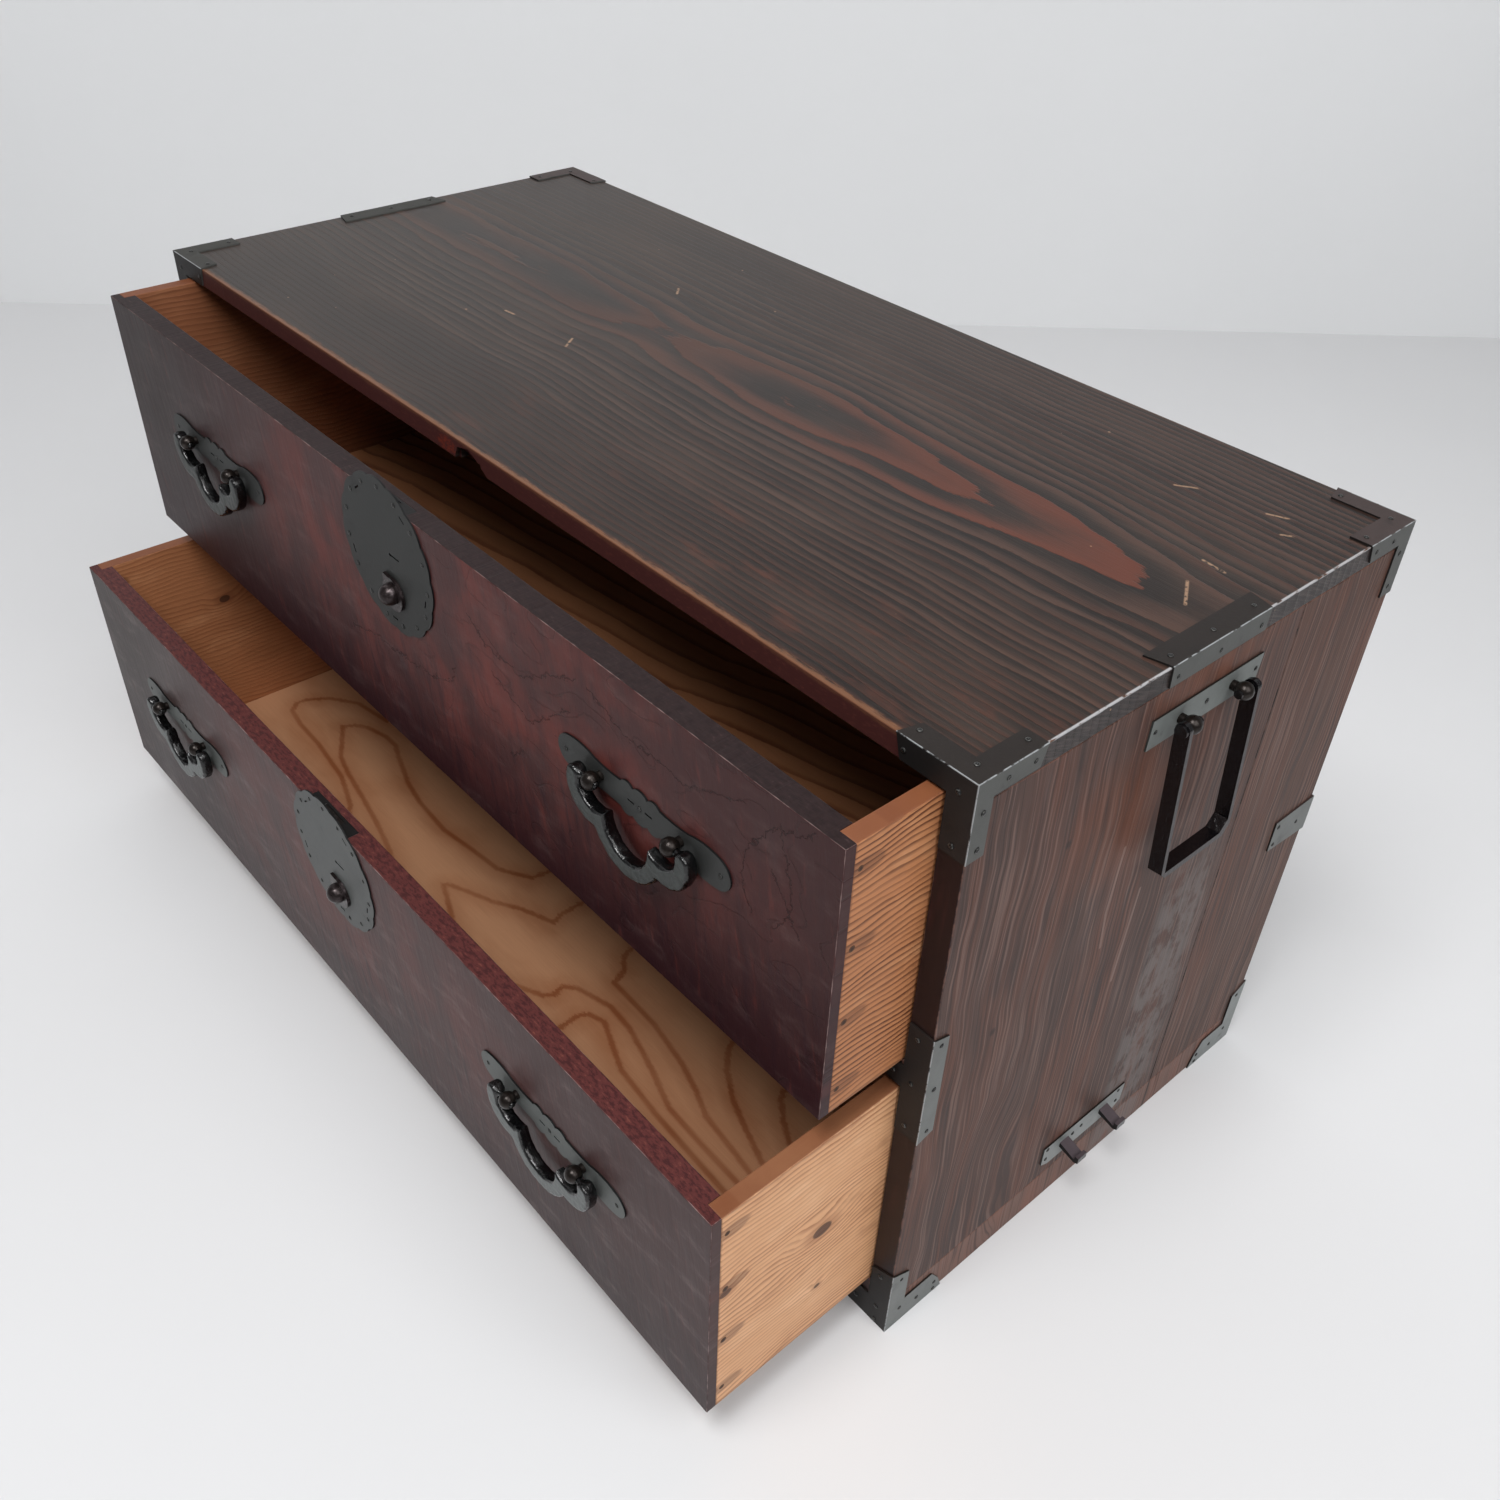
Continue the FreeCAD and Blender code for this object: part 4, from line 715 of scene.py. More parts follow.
@dataclass(frozen=True)
class DrawerPine(Finish):
    """Warm pine of the drawers' sides and backs, with reddened upper edges.

    A knot has its place along the board, its height and its size. The pegs stand in a row near the front
    edge, spread between the margins.
    """

    honey: Rgb = (196, 142, 98)
    pale: Rgb = (216, 168, 124)
    brown: Rgb = (150, 98, 64)
    ring: Rgb = (126, 74, 42)
    knot: Rgb = (70, 44, 32)
    bleed: Rgb = (86, 50, 34)
    top: Rgb = (110, 62, 36)
    arris: Rgb = (120, 74, 50)
    foot: Rgb = (126, 88, 62)
    contrast: float = 0.5
    ring_width: float = 4.6
    along_y: bool = True
    knots: tuple[tuple[float, float, float], ...] = ()
    pegs: int = 0
    peg_margin: float = 18.0
    peg_inset: float = 9.0

    def surface(self, g: Graph) -> Material:
        """Lays out the rings, the knots, the bleeding pegs and the edges; see Finish."""
        along = g.y if self.along_y else g.x
        low, high = g.low.z, g.high.z
        bend = (g.noise(along / 130, g.z / 75, g.low.x * 0.009, 2.0) - 0.5) * 26
        bulge = 0.0
        for at, up, size in self.knots:
            bulge = g.spot(along, g.z, (at, up), (size * 6, size * 4)) * size + bulge
        level = g.z + bend + bulge
        phase = level / self.ring_width + (g.noise(along / 18, g.z / 2.5, 3.0, 2.0) - 0.5) * 0.45
        strength = g.noise(level / 30, along / 400, 6.0, 2.0).rise(0.3, 0.62)
        rings = grain_rings(phase, 0.35)
        fibres = g.noise(along / 26, g.z / 0.8, g.x / 0.8, 3.0, 0.6)
        clouds = g.noise(along / 60, g.z / 28, g.x / 60, 4.0)
        colour = g.coats(
            self.honey,
            (self.pale, clouds.rise(0.5, 0.75) * 0.6),
            (self.brown, clouds.rise(0.45, 0.25) * 0.45),
            (self.ring, rings * (strength * self.contrast + self.contrast * 0.35)),
        )
        colour = g.shade(colour, 0.87 + fibres * 0.26)
        for at, up, size in self.knots:
            spot = g.spot(along, g.z, (at, up), (size * 1.6, size * 1.1)).rise(0.1, 0.5)
            halo = g.spot(along, g.z, (at, up), (size * 3.4, size * 2.2))
            colour = g.coats(colour, (self.ring, halo * 0.5), (self.knot, spot * 0.85))
        for count in range(self.pegs):
            up = low + self.peg_margin + (high - low - 2 * self.peg_margin) * count / (self.pegs - 1)
            at = g.low.y + self.peg_inset
            bleed = g.spot(along + (clouds - 0.5) * 16, g.z, (at, up), (15.0, 7.0)).rise(0.0, 0.6)
            colour = g.blend(colour, self.bleed, bleed * (fibres * 0.7 + 0.1))
        colour = g.coats(
            colour,
            (self.top, g.facing[2].rise(0.5, 0.9) * (0.7 + clouds * 0.4)),
            (self.arris, g.chewed_edge(6.0, 1.5).rise(1.4, 0.2) * 0.55),
            (self.foot, g.z.rise(low + 6, low) * 0.5),
        )
        return g.finish(colour, 0.5 + fibres * 0.1, rings * 0.5 + fibres * 0.4, 0.2)


@dataclass(frozen=True)
class DrawerFloor(Finish):
    """Pale flat-sawn pine of a drawer's bottom, with bold brown year rings in long tongues.

    The rings listed are drawn one by one at the front, up to rings_end. Behind, the ring count follows the
    tongues along the board, as shares of its length and of the most, and drops by one over the spread.
    """

    pale: Rgb = (180, 132, 98)
    haze: Rgb = (156, 103, 70)
    ring: Rgb = (132, 74, 42)
    heart: float = -195.0
    spread: float = 46.0
    rings: tuple[Line, ...] = ()
    rings_end: float = -130.0
    tongues: Line = (
        (0.0, 0.06), (0.03, 0.1), (0.11, 0.2), (0.3, 0.27), (0.42, 0.32), (0.59, 0.43), (0.65, 0.53),
        (0.78, 0.66), (0.9, 0.8), (1.0, 0.92),
    )
    most: float = 10.0

    def surface(self, g: Graph) -> Material:
        """Lays out the year rings and the fibres; see Finish."""
        drift = (g.noise(g.x / 420, 5.0, 0.0, 1.0) - 0.5) * 46
        off = abs(g.y - self.heart + drift) * (1 / self.spread)
        swing = (g.noise(g.x / 260, g.y / 70, 4.0, 1.5) - 0.5) * 1.5
        teeth = (g.noise(g.x / 7, g.y / 3, 9.0, 2.0) - 0.5) * 0.12
        share = (g.x - g.low.x) / (g.high.x - g.low.x)
        phase = self.most * g.curve(share, self.tongues) - off ** 1.45 + swing + teeth
        part = phase.fract()
        line = part.rise(0.62, 0.93) * part.rise(1.0, 0.95)
        haze = part.rise(0.2, 0.95) * part.rise(1.0, 0.97)
        fibres = g.noise(g.x / 40, g.y, 0.0, 3.0, 0.6)
        clouds = g.noise(g.x / 90, g.y / 40, 2.0, 3.0)
        if self.rings:
            shaken = g.x + (g.noise(g.x / 5, g.y / 3, 14.0, 3.0, 0.7) - 0.5) * 11
            near = reduce(Val.low, [g.gap(shaken, g.y, ring) for ring in self.rings])
            beyond = g.y.rise(self.rings_end - 12, self.rings_end)
            line = line * beyond + near.rise(3.6, 0.8) * (1 - beyond)
            haze = haze * beyond + near.rise(20.0, 2.0) * (1 - beyond)
        colour = g.coats(
            self.pale,
            (self.haze, haze * 0.45 + clouds.rise(0.45, 0.75) * 0.5),
            (self.ring, line * (0.6 + clouds.rise(0.35, 0.7) * 0.35)),
        )
        colour = g.shade(colour, 0.86 + fibres * 0.28)
        return g.finish(colour, 0.5, line * 0.3 + fibres * 0.5, 0.12)


@dataclass(frozen=True)
class Iron(Finish):
    """Hand-forged sheet iron under an old black patina, lighter on the faces turned to the flanks, with
    painted sheen on tops at the far left and a painted highlight on its rubbed arrises.
    """

    front: Rgb = (56, 58, 56)
    side: Rgb = (84, 85, 83)
    top: Rgb = (34, 28, 25)
    # Paler tops at the far left: painted sheen.
    top_left_sheen: Rgb = (48, 47, 43)
    top_rear: Rgb = (62, 50, 48)
    light: Rgb = (138, 142, 141)
    # Bright line on the rubbed arrises: painted highlight over the wear.
    worn_edge_highlight: Rgb = (176, 180, 182)
    black: Rgb = (13, 13, 14)
    rough: float = 0.5
    cut_edges: bool = False

    def surface(self, g: Graph) -> Material:
        """Lays out the patina, the lighter flank, the painted sheen at the far left and the painted highlight
        on the rubbed arrises; see Finish.
        """
        clouds = g.clouds(20, 20, 20, 4.0, 0.6)
        grit = g.clouds(2.2, 2.2, 2.2, 3.0, 0.6)
        flank = abs(g.facing[0]).rise(0.5, 0.8)
        ahead = abs(g.facing[1]).rise(0.86, 0.96)
        colour = g.coats(
            self.top,
            # Tops paler at the far left: painted sheen.
            (self.top_left_sheen, g.x.rise(-300, -420)),
            (self.top_rear, g.y.rise(60, 170)),
            (self.front, ahead),
        )
        if self.cut_edges:
            colour = g.blend(self.black, colour, ahead)
        else:
            low = g.z.rise(430, 40) * 0.5 + g.y.rise(0, 200) * g.z.rise(160, 40) * 0.4
            colour = g.blend(colour, g.blend(self.side, self.light, low), flank)
        # Mask of the arrises, which carry the painted highlight.
        arris = g.edge_distance(*(corner / MM for corner in iron_box())).rise(0.75, 0.25)
        colour = g.coats(
            g.shade(colour, 0.62 + clouds * 0.62 + grit * 0.14),
            (self.black, clouds.rise(0.4, 0.25) * 0.4 + grit.rise(0.64, 0.8) * 0.25),
            # Rubbed arrises with a painted highlight.
            (self.worn_edge_highlight, arris * g.clouds(6, 6, 6).rise(0.36, 0.5) * 0.75),
        )
        return g.finish(colour, self.rough + clouds * 0.1, grit * 0.6 + clouds * 0.4, 0.14, 0.25, 0.35)


@dataclass(frozen=True)
class ForgedBar(Finish):
    """Thick hammered iron: a grey-green flat in front, partly rubbed and partly a painted reflection of the
    floor, glossy black blows all round it.
    """

    flat: Rgb = (50, 55, 53)
    black: Rgb = (9, 9, 10)
    out_axis: int = 1
    out_sign: float = -1.0

    def surface(self, g: Graph) -> Material:
        """Lays out the flat, partly rubbed and partly painted reflection, and the blows; see Finish."""
        blows = g.clouds(3, 3, 3, 2.0, 0.5)
        grit = g.clouds(0.9, 0.9, 0.9, 2.0, 0.6)
        # The flat is picked by which way a face turns: its grey is partly wear and partly painted reflection
        # of the floor.
        ahead = g.facing[self.out_axis] * self.out_sign
        rubbed = (ahead + (blows - 0.5) * 0.12).rise(0.92, 0.985)
        colour = g.blend(self.black, self.flat, rubbed * (0.7 + blows * 0.5))
        rough = 0.13 + rubbed * 0.32 + grit * 0.1
        return g.finish(g.shade(colour, 0.75 + grit * 0.5), rough, blows * 0.7 + grit * 0.3, 0.5, 0.3, 0.8)


@dataclass(frozen=True)
class DarkBronze(Finish):
    """Polished black-brown metal of the knobs, the eyes that carry the bails, and the bolts."""

    tone: Rgb = (34, 28, 25)
    light: Rgb = (84, 78, 74)

    def surface(self, g: Graph) -> Material:
        """Lays out the clouded polish; see Finish."""
        clouds = g.clouds(5, 5, 5, 3.0, 0.6)
        colour = g.blend(self.tone, self.light, clouds.rise(0.5, 0.8) * 0.5)
        return g.finish(colour, 0.22 + clouds * 0.16, clouds, 0.25, 0.65, 0.5)


@dataclass(frozen=True)
class NailIron(Finish):
    """Domed nail heads, which keep their distance from the axis as "rim": black, with a rubbed bright rim."""

    dome: Rgb = (26, 26, 26)
    rim: Rgb = (104, 104, 100)
    glint: Rgb = (120, 122, 122)

    def surface(self, g: Graph) -> Material:
        """Lays out the rim and the glint in the middle; see Finish."""
        out = g.kept("rim")
        worn = g.clouds(1.6, 1.6, 1.6, 2.0)
        ring = out.rise(0.5, 0.68) * out.rise(0.93, 0.8)
        colour = g.coats(
            self.dome,
            (self.rim, ring * worn.rise(0.35, 0.6) * 0.7),
            (self.glint, out.rise(0.24, 0.05) * 0.5),
        )
        return g.finish(colour, 0.28 + worn * 0.15, worn, 0.12, 0.5, 0.5)


@dataclass(frozen=True)
class PegWood(Finish):
    """Dark end grain of the pegs in the drawers' sides, which keep their distance from the axis as "rim"."""

    heart: Rgb = (58, 42, 34)
    edge: Rgb = (112, 74, 50)

    def surface(self, g: Graph) -> Material:
        """Lays out the end grain; see Finish."""
        out = g.kept("rim")
        grain = g.noise(g.y / 0.7, g.z / 0.7, g.x, 3.0)
        colour = g.blend(self.heart, self.edge, out.rise(0.3, 1.0) * 0.6 + grain.rise(0.5, 0.8) * 0.3)
        return g.finish(colour, 0.7, grain, 0.1)


@dataclass
class HeadMaker(Nodes):
    """Geometry Nodes that set a domed head on every place, turned to the place's direction.

    The spread is the smallest and the largest head, as shares of the size asked for.
    """

    segments: int = 12
    rings: int = 8
    spread: Place = (0.86, 1.06)
    seed: int = 11

    def __post_init__(self) -> None:
        """Builds the node tree once."""
        self.tree = bpy.data.node_groups.new("domed_heads", "GeometryNodeTree")
        inputs = {"Places": "Geometry", "Radius": "Float", "Height": "Float", "Finish": "Material"}
        for name, kind in inputs.items():
            self.tree.interface.new_socket(name, in_out="INPUT", socket_type="NodeSocket" + kind)
        self.tree.interface.new_socket("Heads", in_out="OUTPUT", socket_type="NodeSocketGeometry")
        self.wire()

    def wire(self) -> None:
        """Lays the nodes out: a flattened dome that keeps its distance from the axis, set on the places."""
        given = self.node("NodeGroupInput", {}, {}).outputs
        radius, height = Val(self, given["Radius"]), Val(self, given["Height"])
        ball = {"Segments": self.segments, "Rings": self.rings, "Radius": radius}
        dome = self.node("GeometryNodeMeshUVSphere", {}, ball).outputs["Mesh"]
        where = self.node("GeometryNodeInputPosition", {}, {}).outputs[0]
        level = self.vector("MULTIPLY", {0: where, 1: (1, 1, 0)}).outputs[0]
        away = Val(self, self.vector("LENGTH", {0: level}).outputs["Value"])
        rim = {"Geometry": dome, "Name": "rim", "Value": away / radius}
        kept = self.node("GeometryNodeStoreNamedAttribute", {"data_type": "FLOAT", "domain": "POINT"}, rim)
        shape = {"Geometry": kept.outputs["Geometry"], "Scale": self.join(1.0, 1.0, height / radius)}
        shaped = self.node("GeometryNodeTransform", {}, shape).outputs[0]
        aim = self.node("GeometryNodeInputNamedAttribute", {"data_type": "FLOAT_VECTOR"}, {"Name": "out"})
        turn = self.node("FunctionNodeAlignRotationToVector", {"axis": "Z"}, {"Vector": aim.outputs[0]})
        sizes = {2: self.spread[0], 3: self.spread[1], "Seed": self.seed}
        size = self.node("FunctionNodeRandomValue", {"data_type": "FLOAT"}, sizes).outputs[1]
        heads = {"Points": given["Places"], "Instance": shaped, "Rotation": turn.outputs[0], "Scale": size}
        placed = self.node("GeometryNodeInstanceOnPoints", {}, heads).outputs[0]
        whole = self.node("GeometryNodeRealizeInstances", {}, {0: placed}).outputs[0]
        painted = self.node("GeometryNodeSetMaterial", {}, {0: whole, "Material": given["Finish"]})
        self.node("NodeGroupOutput", {}, {0: painted.outputs[0]})

    def heads(
        self, name: str, places: Sequence[Seat], size: Place, finish: Material
    ) -> bpy.types.Object:
        """Makes one plain mesh of heads.

        Args:
            name: the object's name.
            places: each head's seat and outward direction.
            size: a head's radius and height, in metres.
            finish: its material.

        Returns:
            The object, at the origin.
        """
        points = bpy.data.meshes.new(name + "_places")
        points.from_pydata([seat for seat, _ in places], [], [])
        aims = points.attributes.new("out", "FLOAT_VECTOR", "POINT")
        for index, (_, out) in enumerate(places):
            aims.data[index].vector = out
        made = new_object(name, points)
        modifier = made.modifiers.new("heads", "NODES")
        modifier.node_group = self.tree
        values = {"Radius": size[0], "Height": size[1], "Finish": finish}
        for item in self.tree.interface.items_tree:
            if item.in_out == "INPUT" and item.name in values:
                modifier[item.identifier] = values[item.name]
        return settle(made)


def settle(made: bpy.types.Object) -> bpy.types.Object:
    """Turns a piece and its modifiers into a plain smooth mesh.

    Args:
        made: the piece, at the origin.

    Returns:
        The same object with a plain mesh and no modifiers.
    """
    bpy.context.view_layer.update()
    result = made.evaluated_get(bpy.context.evaluated_depsgraph_get())
    mesh = bpy.data.meshes.new_from_object(result)
    made.modifiers.clear()
    made.data = mesh
    mesh.shade_smooth()
    return made


def islands(node: str) -> list[list[Vector]]:
    """The separate solids of a CAD node.

    Args:
        node: the node's name.

    Returns:
        The vertices of each solid.
    """
    work = bmesh.new()
    work.from_mesh(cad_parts[node].data)
    bmesh.ops.remove_doubles(work, verts=work.verts, dist=SAME_POINT)
    work.verts.ensure_lookup_table()
    seen: set[int] = set()
    found = []
    for start in work.verts:
        if start.index in seen:
            continue
        stack, island = [start], []
        seen.add(start.index)
        while stack:
            vertex = stack.pop()
            island.append(vertex.co.copy())
            for edge in vertex.link_edges:
                other = edge.other_vert(vertex)
                if other.index not in seen:
                    seen.add(other.index)
                    stack.append(other)
        found.append(island)
    work.free()
    return found


def seat_of(
    island: Sequence[Vector], radius: float, slack: float = 0.06, rim_from: float = 0.9
) -> Seat | None:
    """Where a round-headed solid's head sits.

    Args:
        island: the solid's vertices.
        radius: the head's radius, in metres.
        slack: how far a head's width may be off, as a share of the radius.
        rim_from: how far from the axis the rim's points start, as a share of the radius.

    Returns:
        The middle of the head's rim and its outward direction, or None where no head has that radius.
    """
    low, high = box_of(island)
    span = high - low
    wide = [i for i in range(3) if abs(span[i] - 2 * radius) < radius * slack]
    if len(wide) != 2:
        return None
    axis = ({0, 1, 2} - set(wide)).pop()
    middle = (low + high) / 2
    rim = [p for p in island if Vector([p[i] - middle[i] for i in wide]).length > radius * rim_from]
    level = sum(p[axis] for p in rim) / len(rim)
    out = Vector([0.0, 0.0, 0.0])
    shanked = span[axis] > radius
    out[axis] = 1.0 if (level > middle[axis]) == shanked else -1.0
    seat = middle.copy()
    seat[axis] = level
    return seat, out


@dataclass
class SubAssembly(ABC):
    """A part of the chest that dresses its CAD nodes and adds its own pieces.

    Attributes:
        maker: the maker of nail and peg heads.
        nail: a nail head's radius and height, in metres.
    """

    maker: HeadMaker
    nail: Place = (1.8 * MM, 0.8 * MM)

    @abstractmethod
    def build(self) -> None:
        """Dresses the nodes and makes the pieces."""

    def paint(self, finishes: dict[str, Finish]) -> None:
        """Gives CAD nodes their materials.

        Args:
            finishes: a finish for each node's name.
        """
        for node, finish in finishes.items():
            dress(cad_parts[node].data, finish.make(node + "_finish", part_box(node)))
            LOG.info("dressed %s", node)

    def fit(self, piece: bpy.types.Object, body: str, slot: str, node: str) -> None:
        """Puts a new piece on its body in place of a CAD node.

        Args:
            piece: the piece.
            body: the body that carries it.
            slot: the record's material slot; not used.
            node: the CAD node that it stands for.
        """
        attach(piece, body)
        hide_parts(node)
        LOG.info("fitted %s on %s", piece.name, body)

    def set_nails(self, node: str, body: str) -> None:
        """Sets domed heads in place of a node's nails.

        Args:
            node: the CAD node that holds the nails.
            body: the body that carries them.
        """
        seats = [seat_of(island, self.nail[0]) for island in islands(node)]
        places = [seat for seat in seats if seat]
        finish = NailIron().make(node + "_iron", CAD_BOX)
        self.fit(self.maker.heads(node + "_heads", places, self.nail, finish), body, "iron", node)


@dataclass
class Carcass(SubAssembly):
    """Boards and rails of the case."""

    def build(self) -> None:
        """Dresses the boards; see SubAssembly."""
        pine, rail = PlainPine(), LacqueredRail()
        base = StainedSide(stain=(112, 83, 73), red=(126, 82, 67), shift=44.0)
        self.paint(
            {
                "top_board": StainedTop(),
                "side_right_front_board": StainedSide(),
                "side_right_rear_board": StainedSide(stain=(82, 56, 46), shift=9.0),
                "side_left_front_board": StainedSide(shift=20.0),
                "side_left_rear_board": StainedSide(stain=(80, 56, 47), shift=31.0),
                "base_rail_right": base,
                "base_rail_left": replace(base, shift=40.0),
                "base_rail_front": rail,
                "middle_rail": rail,
                "base_rail_rear": pine,
                "middle_shelf": pine,
                "bottom_board": pine,
                "lower_runners": pine,
                "back_boards": PlainPine(pale=(110, 86, 68), dark=(74, 56, 44), boards=3),
            }
        )


@dataclass
class CarcassIrons(SubAssembly):
    """Corner irons, straps, hooks and their nails."""

    corner: Iron = Iron(front=(30, 27, 26))
    strap: Iron = Iron(front=(30, 27, 26), side=(100, 102, 100))

    def build(self) -> None:
        """Dresses the ironwork and sets its nails; see SubAssembly."""
        finishes: dict[str, Finish] = {
            f"corner_iron_{depth}_{level}_{side}": self.corner
            for depth in ("front", "rear")
            for level in ("top", "bottom")
            for side in ("left", "right")
        }
        finishes |= {"mid_straps_front": self.strap, "mid_straps_rear": self.strap, "top_straps": self.corner}
        finishes |= {
            "hook_plates": Iron(side=(136, 139, 138)),
            # The hooks' front faces are painted near black: painted shade on their sides.
            "stacking_hooks": Iron(front=(20, 17, 18), side=(66, 56, 60), top=(78, 68, 72)),
            "side_handle_plates": Iron(side=(112, 116, 114)),
            "side_handle_posts": DarkBronze(),
        }
        self.paint(finishes)
        self.set_nails("carcass_nails", "carcass")


class Side(Enum):
    """Left or right, as seen from the front."""

    LEFT = "left"
    RIGHT = "right"


@dataclass
class SideHandle(SubAssembly):
    """Strap bail on a side of the chest."""

    side: Side = Side.RIGHT

    def build(self) -> None:
        """Dresses the bail; see SubAssembly."""
        out = 1.0 if self.side is Side.RIGHT else -1.0
        # The strap's front flat is partly rubbed and partly painted reflection.
        strap = ForgedBar(flat=(66, 62, 63), black=(15, 13, 15), out_axis=0, out_sign=out)
        self.paint({f"side_bail_{self.side.value}": strap})


@dataclass(frozen=True)
class Forge:
    """Turns a sawn-out bail into one that looks hammered: rounds its arrises and dents its skin.

    Attributes:
        skin: spacing of the new skin's points, in millimetres.
        rounds: how often the skin is evened out.
        pull: how far each round moves a point towards its neighbours.
        blow: size of a hammer blow, in millimetres.
        dent: depth of a dent, in millimetres.
        sunk: how far the skin sinks as a whole, as a share of a dent.
    """

    skin: float = 0.6
    rounds: int = 44
    pull: float = 0.5
    blow: float = 4.2
    dent: float = 0.28
    sunk: float = 0.25

    def forge(self, node: str, finish: Material) -> bpy.types.Object:
        """Makes the hammered piece.

        Args:
            node: the CAD node to start from.
            finish: its material.

        Returns:
            The piece, at the origin.
        """
        made = new_object(node + "_forged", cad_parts[node].data.copy())
        remesh = made.modifiers.new("skin", "REMESH")
        remesh.mode = "VOXEL"
        remesh.voxel_size = self.skin * MM
        rounding = made.modifiers.new("rounding", "SMOOTH")
        rounding.factor = self.pull
        rounding.iterations = self.rounds
        settle(made)
        outward = [point.normal.copy() for point in made.data.vertices]
        for point, out in zip(made.data.vertices, outward):
            hit = noise.noise(point.co / (self.blow * MM)) - self.sunk
            point.co += out * (hit * self.dent * MM)
        dress(made.data, finish)
        return made


class Level(Enum):
    """Which of the two drawers."""

    UPPER = "upper"
    LOWER = "lower"


# Cracks of the upper front's lacquer, as corners across and up, in millimetres.
UPPER_FLAWS = (
    ((378, 450), (386, 418), (389, 395), (395, 384.5)),
    ((374, 416), (389, 395), (377, 378)),
    ((403, 459), (371, 440), (355, 417), (352, 395), (360, 376)),
    ((98, 427), (116, 413), (157, 411), (184, 427), (212, 440)),
    ((121, 397), (143, 386), (162, 381), (184, 399), (202, 413)),
    ((-66, 333), (-38, 342), (2, 344), (43, 349), (71, 361), (75, 372)),
    ((134, 340), (150, 352)),
    ((221, 440), (257, 427), (307, 427), (352, 445)),
)

# Year rings at the front of the lower floor, as corners across and from front to back, in millimetres.
LOWER_RINGS = (
    ((-298, -130), (-298, -147), (-341, -154), (-366, -172), (-378, -191), (-379, -201), (-370, -210),
     (-345, -214), (-309, -215), (-250, -222), (-209, -235), (-190, -248)),
    ((-110, -248), (-132, -239), (-173, -229), (-209, -222), (-250, -215), (-277, -208), (-295, -197),
     (-317, -184), (-311, -174), (-302, -167), (-277, -160), (-259, -160), (-241, -167), (-204, -179),
     (-173, -185), (-127, -188), (-91, -183), (-54, -179), (-27, -163), (-20, -130)),
    ((25, -130), (25, -167), (29, -179), (0, -190), (-23, -204), (-45, -213), (-63, -221), (-67, -225),
     (-52, -231), (-10, -248)),
    ((90, -130), (95, -156), (109, -167), (114, -180), (168, -182), (209, -189), (236, -197),
     (259, -206), (314, -213), (405, -224)),
    ((55, -248), (89, -231), (94, -224), (91, -214), (100, -206), (132, -197), (159, -199), (200, -210),
     (236, -222), (273, -224), (314, -225), (405, -232)),
    ((125, -248), (123, -224), (127, -215), (141, -210), (164, -219), (186, -228), (236, -233),
     (405, -241)),
    ((210, -130), (223, -154), (236, -167), (259, -181), (282, -190), (314, -201), (405, -216)),
    ((270, -130), (282, -154), (300, -167), (314, -175), (405, -196)),
)


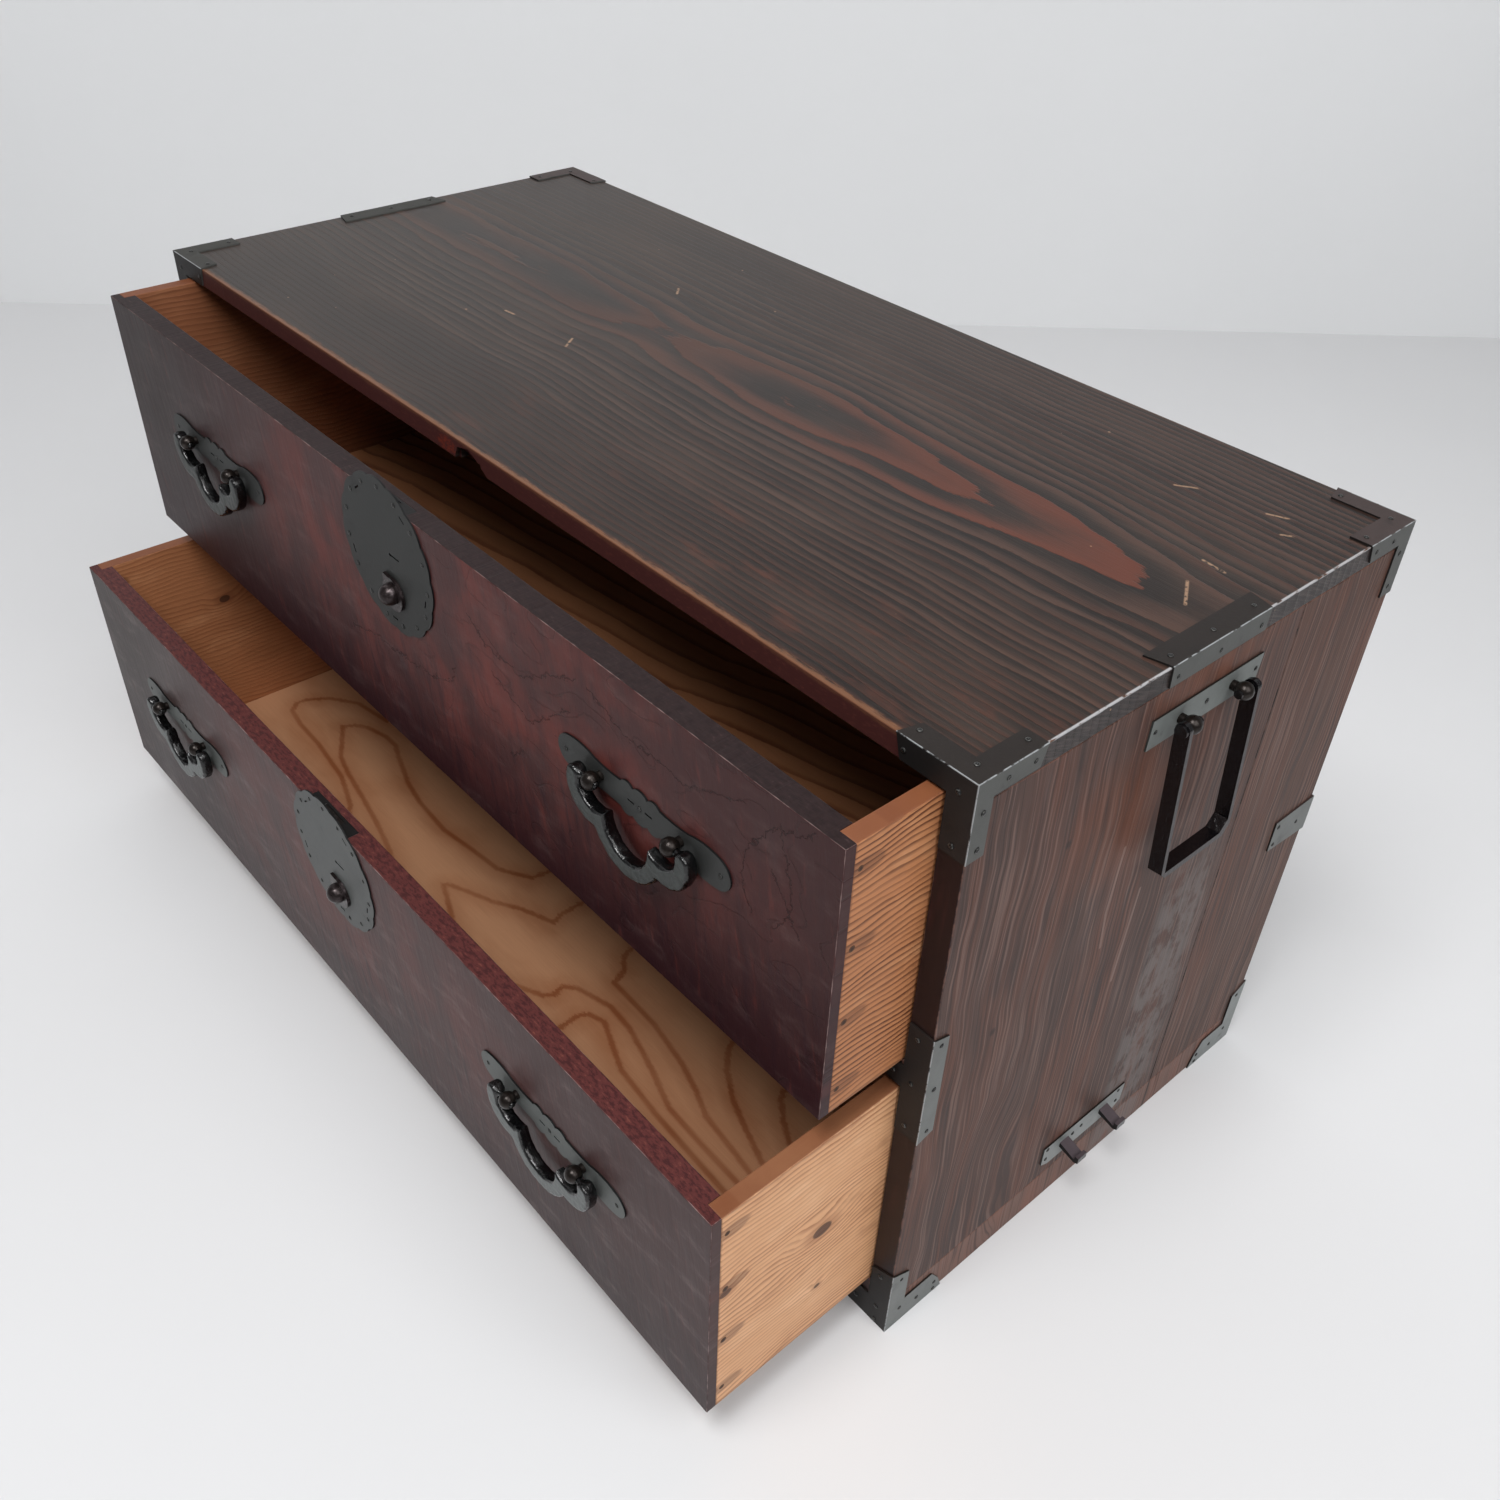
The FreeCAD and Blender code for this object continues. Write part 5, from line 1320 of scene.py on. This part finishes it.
@dataclass
class Drawer(SubAssembly):
    """One drawer with its lock and its two bail handles.

    Attributes:
        level: which of the two it is.
        peg: a peg end's radius and height, in metres.
        peg_length: the least length of a peg, longer than a nail's, in metres.
        forge: what makes the bails.
        rubbed: colour of the bails' flats, partly rubbed and partly a painted reflection of the floor.
    """

    level: Level = Level.UPPER
    peg: Place = (2.2 * MM, 0.12 * MM)
    peg_length: float = 10 * MM
    forge: Forge = Forge()
    rubbed: Rgb = (50, 55, 53)

    def build(self) -> None:
        """Dresses the drawer, forges its bails and sets its nails and pegs; see SubAssembly."""
        name = self.level.value
        self.paint({f"{name}_{part}": finish for part, finish in self.finishes().items()})
        for side in Side:
            node = f"{name}_bail_{side.value}"
            finish = ForgedBar(flat=self.rubbed).make(node + "_iron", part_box(node))
            self.fit(self.forge.forge(node, finish), f"{name}_handle_{side.value}", "iron", node)
        node = f"{name}_drawer_nails"
        self.set_nails(node, f"{name}_drawer")
        finish = PegWood().make(node + "_wood", CAD_BOX)
        pegs = self.maker.heads(f"{name}_drawer_pegs", self.peg_places(node), self.peg, finish)
        self.fit(pegs, f"{name}_drawer", "drawer_pine", node)

    def peg_places(self, node: str) -> list[Seat]:
        """Outer ends of the pegs that a node holds beside its nails.

        Args:
            node: the CAD node.

        Returns:
            The middle of each end and its outward direction.
        """
        found = []
        for island in islands(node):
            outer = max(island, key=lambda p: abs(p.x))
            ends = [p for p in island if abs(p.x - outer.x) < 10 * SAME_POINT]
            inner = min(abs(p.x) for p in island)
            if abs(outer.x) - inner > self.peg_length and len(ends) > 2:
                middle = sum(ends, Vector()) / len(ends)
                found.append((middle, Vector((math.copysign(1.0, outer.x), 0.0, 0.0))))
        return found

    def finishes(self) -> dict[str, Finish]:
        """The finish of each CAD node, by the node's name without the drawer's."""
        common: dict[str, Finish] = {
            "drawer_back": DrawerPine(along_y=False),
            "lock_case": Iron(front=(18, 17, 17), top=(14, 12, 12)),
            "lock_bolt": DarkBronze(),
            "lock_knob": DarkBronze(tone=(44, 36, 36), light=(138, 126, 128)),
            "handle_posts": DarkBronze(),
        }
        return common | (self.upper() if self.level is Level.UPPER else self.lower())

    def upper(self) -> dict[str, Finish]:
        """The upper drawer's own finishes: dark red lacquer and brown pine."""
        return {
            "drawer_front": LacqueredFront(flaws=UPPER_FLAWS),
            # Darker than the lower drawer's side partly as painted shade for the shadow it lies in.
            "drawer_side_right": DrawerPine(
                honey=(184, 123, 81), pale=(206, 152, 110), brown=(138, 86, 54), ring=(100, 56, 32),
                contrast=0.85, pegs=4,
            ),
            "drawer_side_left": DrawerPine(
                honey=(134, 84, 56), pale=(156, 106, 74), ring=(96, 54, 34), contrast=0.4, pegs=4,
            ),
            "drawer_bottom": DrawerFloor(heart=-215.0, pale=(170, 116, 80), ring=(112, 66, 42)),
            "lock_plate": Iron(front=(48, 49, 48), cut_edges=True),
            "handle_plates": Iron(front=(56, 57, 56), cut_edges=True),
        }

    def lower(self) -> dict[str, Finish]:
        """The lower drawer's own finishes: greyer lacquer, pale pine and iron painted lighter for its sheen.
        """
        return {
            "drawer_front": LacqueredFront(
                coat=(64, 41, 40), red=(92, 54, 51), deep=(47, 32, 34), end=(54, 46, 44),
                lip=(84, 42, 40), lip_dark=(52, 24, 26), lip_spark=(118, 68, 58), rub_and_highlight=(168, 148, 146),
                glow=(0.0, 100.0), crazed=0.0, smeared=0.2,
            ),
            "drawer_side_right": DrawerPine(
                honey=(219, 167, 124), pale=(236, 190, 148), ring=(156, 100, 62), contrast=0.6,
                knots=((-252.4, 148.4, 6.0), (-328.8, 162.4, 3.6), (-252.0, 87.0, 2.0)), pegs=4,
            ),
            "drawer_side_left": DrawerPine(
                honey=(174, 115, 77), pale=(200, 144, 102), ring=(124, 72, 46), contrast=0.35,
                knots=((-236.0, 172.0, 4.0),), pegs=4,
            ),
            "drawer_bottom": DrawerFloor(rings=LOWER_RINGS),
            # The lower plates are painted lighter than the upper ones: painted sheen.
            "lock_plate": Iron(front=(88, 90, 89), cut_edges=True),
            "handle_plates": Iron(front=(94, 97, 95), cut_edges=True),
        }


@dataclass(frozen=True)
class Plaster(Finish):
    """Faintly clouded plaster of the room."""

    paint: Rgb

    def surface(self, g: Graph) -> Material:
        """Lays out the clouds; see Finish."""
        clouds = g.clouds(700, 700, 700)
        return g.finish(g.shade(self.paint, 0.97 + clouds * 0.06), 0.6, gloss=0.2)


@dataclass(frozen=True)
class Studio:
    """Pale room, soft light and camera.

    Turns are in degrees. The lamps point at the aim. The wall's foot runs through wall_from, as far as
    wall_ends either way, and the floor comes forward from it.
    """

    lens: float = 33.662
    sensor: float = 36.0
    eye: tuple[float, float, float] = (0.735857, -0.616511, 0.891332)
    turn: tuple[float, float, float] = (51.51417, -1.81917, 48.82492)
    aim: tuple[float, float, float] = (0, -0.1, 0.25)
    wall_from: Place = (-1.7449, -0.0374)
    wall_turn: float = 49.86
    wall_ends: Place = (6.0, 8.0)
    wall_height: float = 5.0
    floor_depth: float = 12.0
    floor_colour: Rgb = (216, 216, 217)
    wall_colour: Rgb = (228, 229, 230)
    sky: Rgb = (240, 242, 245)
    sky_strength: float = 0.27

    def room(self) -> None:
        """Floor and wall, which stay outside the object."""
        angle = math.radians(self.wall_turn)
        away = Vector((math.cos(angle), math.sin(angle), 0))
        near = Vector((away.y, -away.x, 0)) * self.floor_depth
        start = Vector((*self.wall_from, 0)) - away * self.wall_ends[0]
        end = start + away * sum(self.wall_ends)
        up = Vector((0, 0, self.wall_height))
        self.sheet("floor", [start, start + near, end + near, end], self.floor_colour)
        self.sheet("wall", [start, end, end + up, start + up], self.wall_colour)

    def sheet(self, name: str, corners: Sequence[Vector], colour: Rgb) -> None:
        """One flat plastered face of the room.

        Args:
            name: the object's name.
            corners: its four corners.
            colour: its paint.
        """
        mesh = bpy.data.meshes.new(name)
        mesh.from_pydata(corners, [], [(0, 1, 2, 3)])
        dress(mesh, Plaster(colour).make(name + "_plaster", box_of(corners)))
        new_object(name, mesh)

    def lamp(self, name: str, at: tuple[float, float, float], size: float, power: float) -> None:
        """One square area lamp that points at the chest.

        Args:
            name: the lamp's name.
            at: its place.
            size: its side.
            power: its power in watts.
        """
        light = bpy.data.lights.new(name, "AREA")
        light.size = size
        light.energy = power
        made = new_object(name, light)
        made.location = at
        made.rotation_euler = (Vector(self.aim) - Vector(at)).to_track_quat("-Z", "Y").to_euler()

    def light(self) -> None:
        """Even sky with three large soft lamps."""
        world = bpy.data.worlds.new("room_light")
        bpy.context.scene.world = world
        world.use_nodes = True
        background = world.node_tree.nodes["Background"]
        background.inputs[0].default_value = linear(self.sky)
        background.inputs[1].default_value = self.sky_strength
        self.lamp("skylight", (0.5, -1.25, 2.75), 1.1, 55)
        self.lamp("window", (2.1, -0.3, 2.3), 2.0, 46)
        self.lamp("far_window", (-1.9, 0.5, 2.3), 2.0, 14)

    def camera(self) -> None:
        """Camera at the viewing angle."""
        data = bpy.data.cameras.new("camera")
        data.lens = self.lens
        data.sensor_width = self.sensor
        made = new_object("camera", data)
        made.location = self.eye
        made.rotation_euler = Euler([math.radians(a) for a in self.turn])
        bpy.context.scene.camera = made
        bpy.context.scene.view_settings.view_transform = "Standard"


def main() -> None:
    """Builds the scene."""
    logging.basicConfig(level=logging.INFO, format="%(name)s: %(message)s")
    studio = Studio()
    studio.camera()
    studio.room()
    studio.light()
    maker = HeadMaker()
    parts: list[SubAssembly] = [Carcass(maker), CarcassIrons(maker)]
    parts += [SideHandle(maker, side=side) for side in Side]
    # The lower bails' paler flats are painted sheen, like the lower plates.
    parts += [Drawer(maker, level=Level.UPPER), Drawer(maker, level=Level.LOWER, rubbed=(98, 103, 102))]
    for part in parts:
        part.build()


if __name__ == "__main__":
    main()
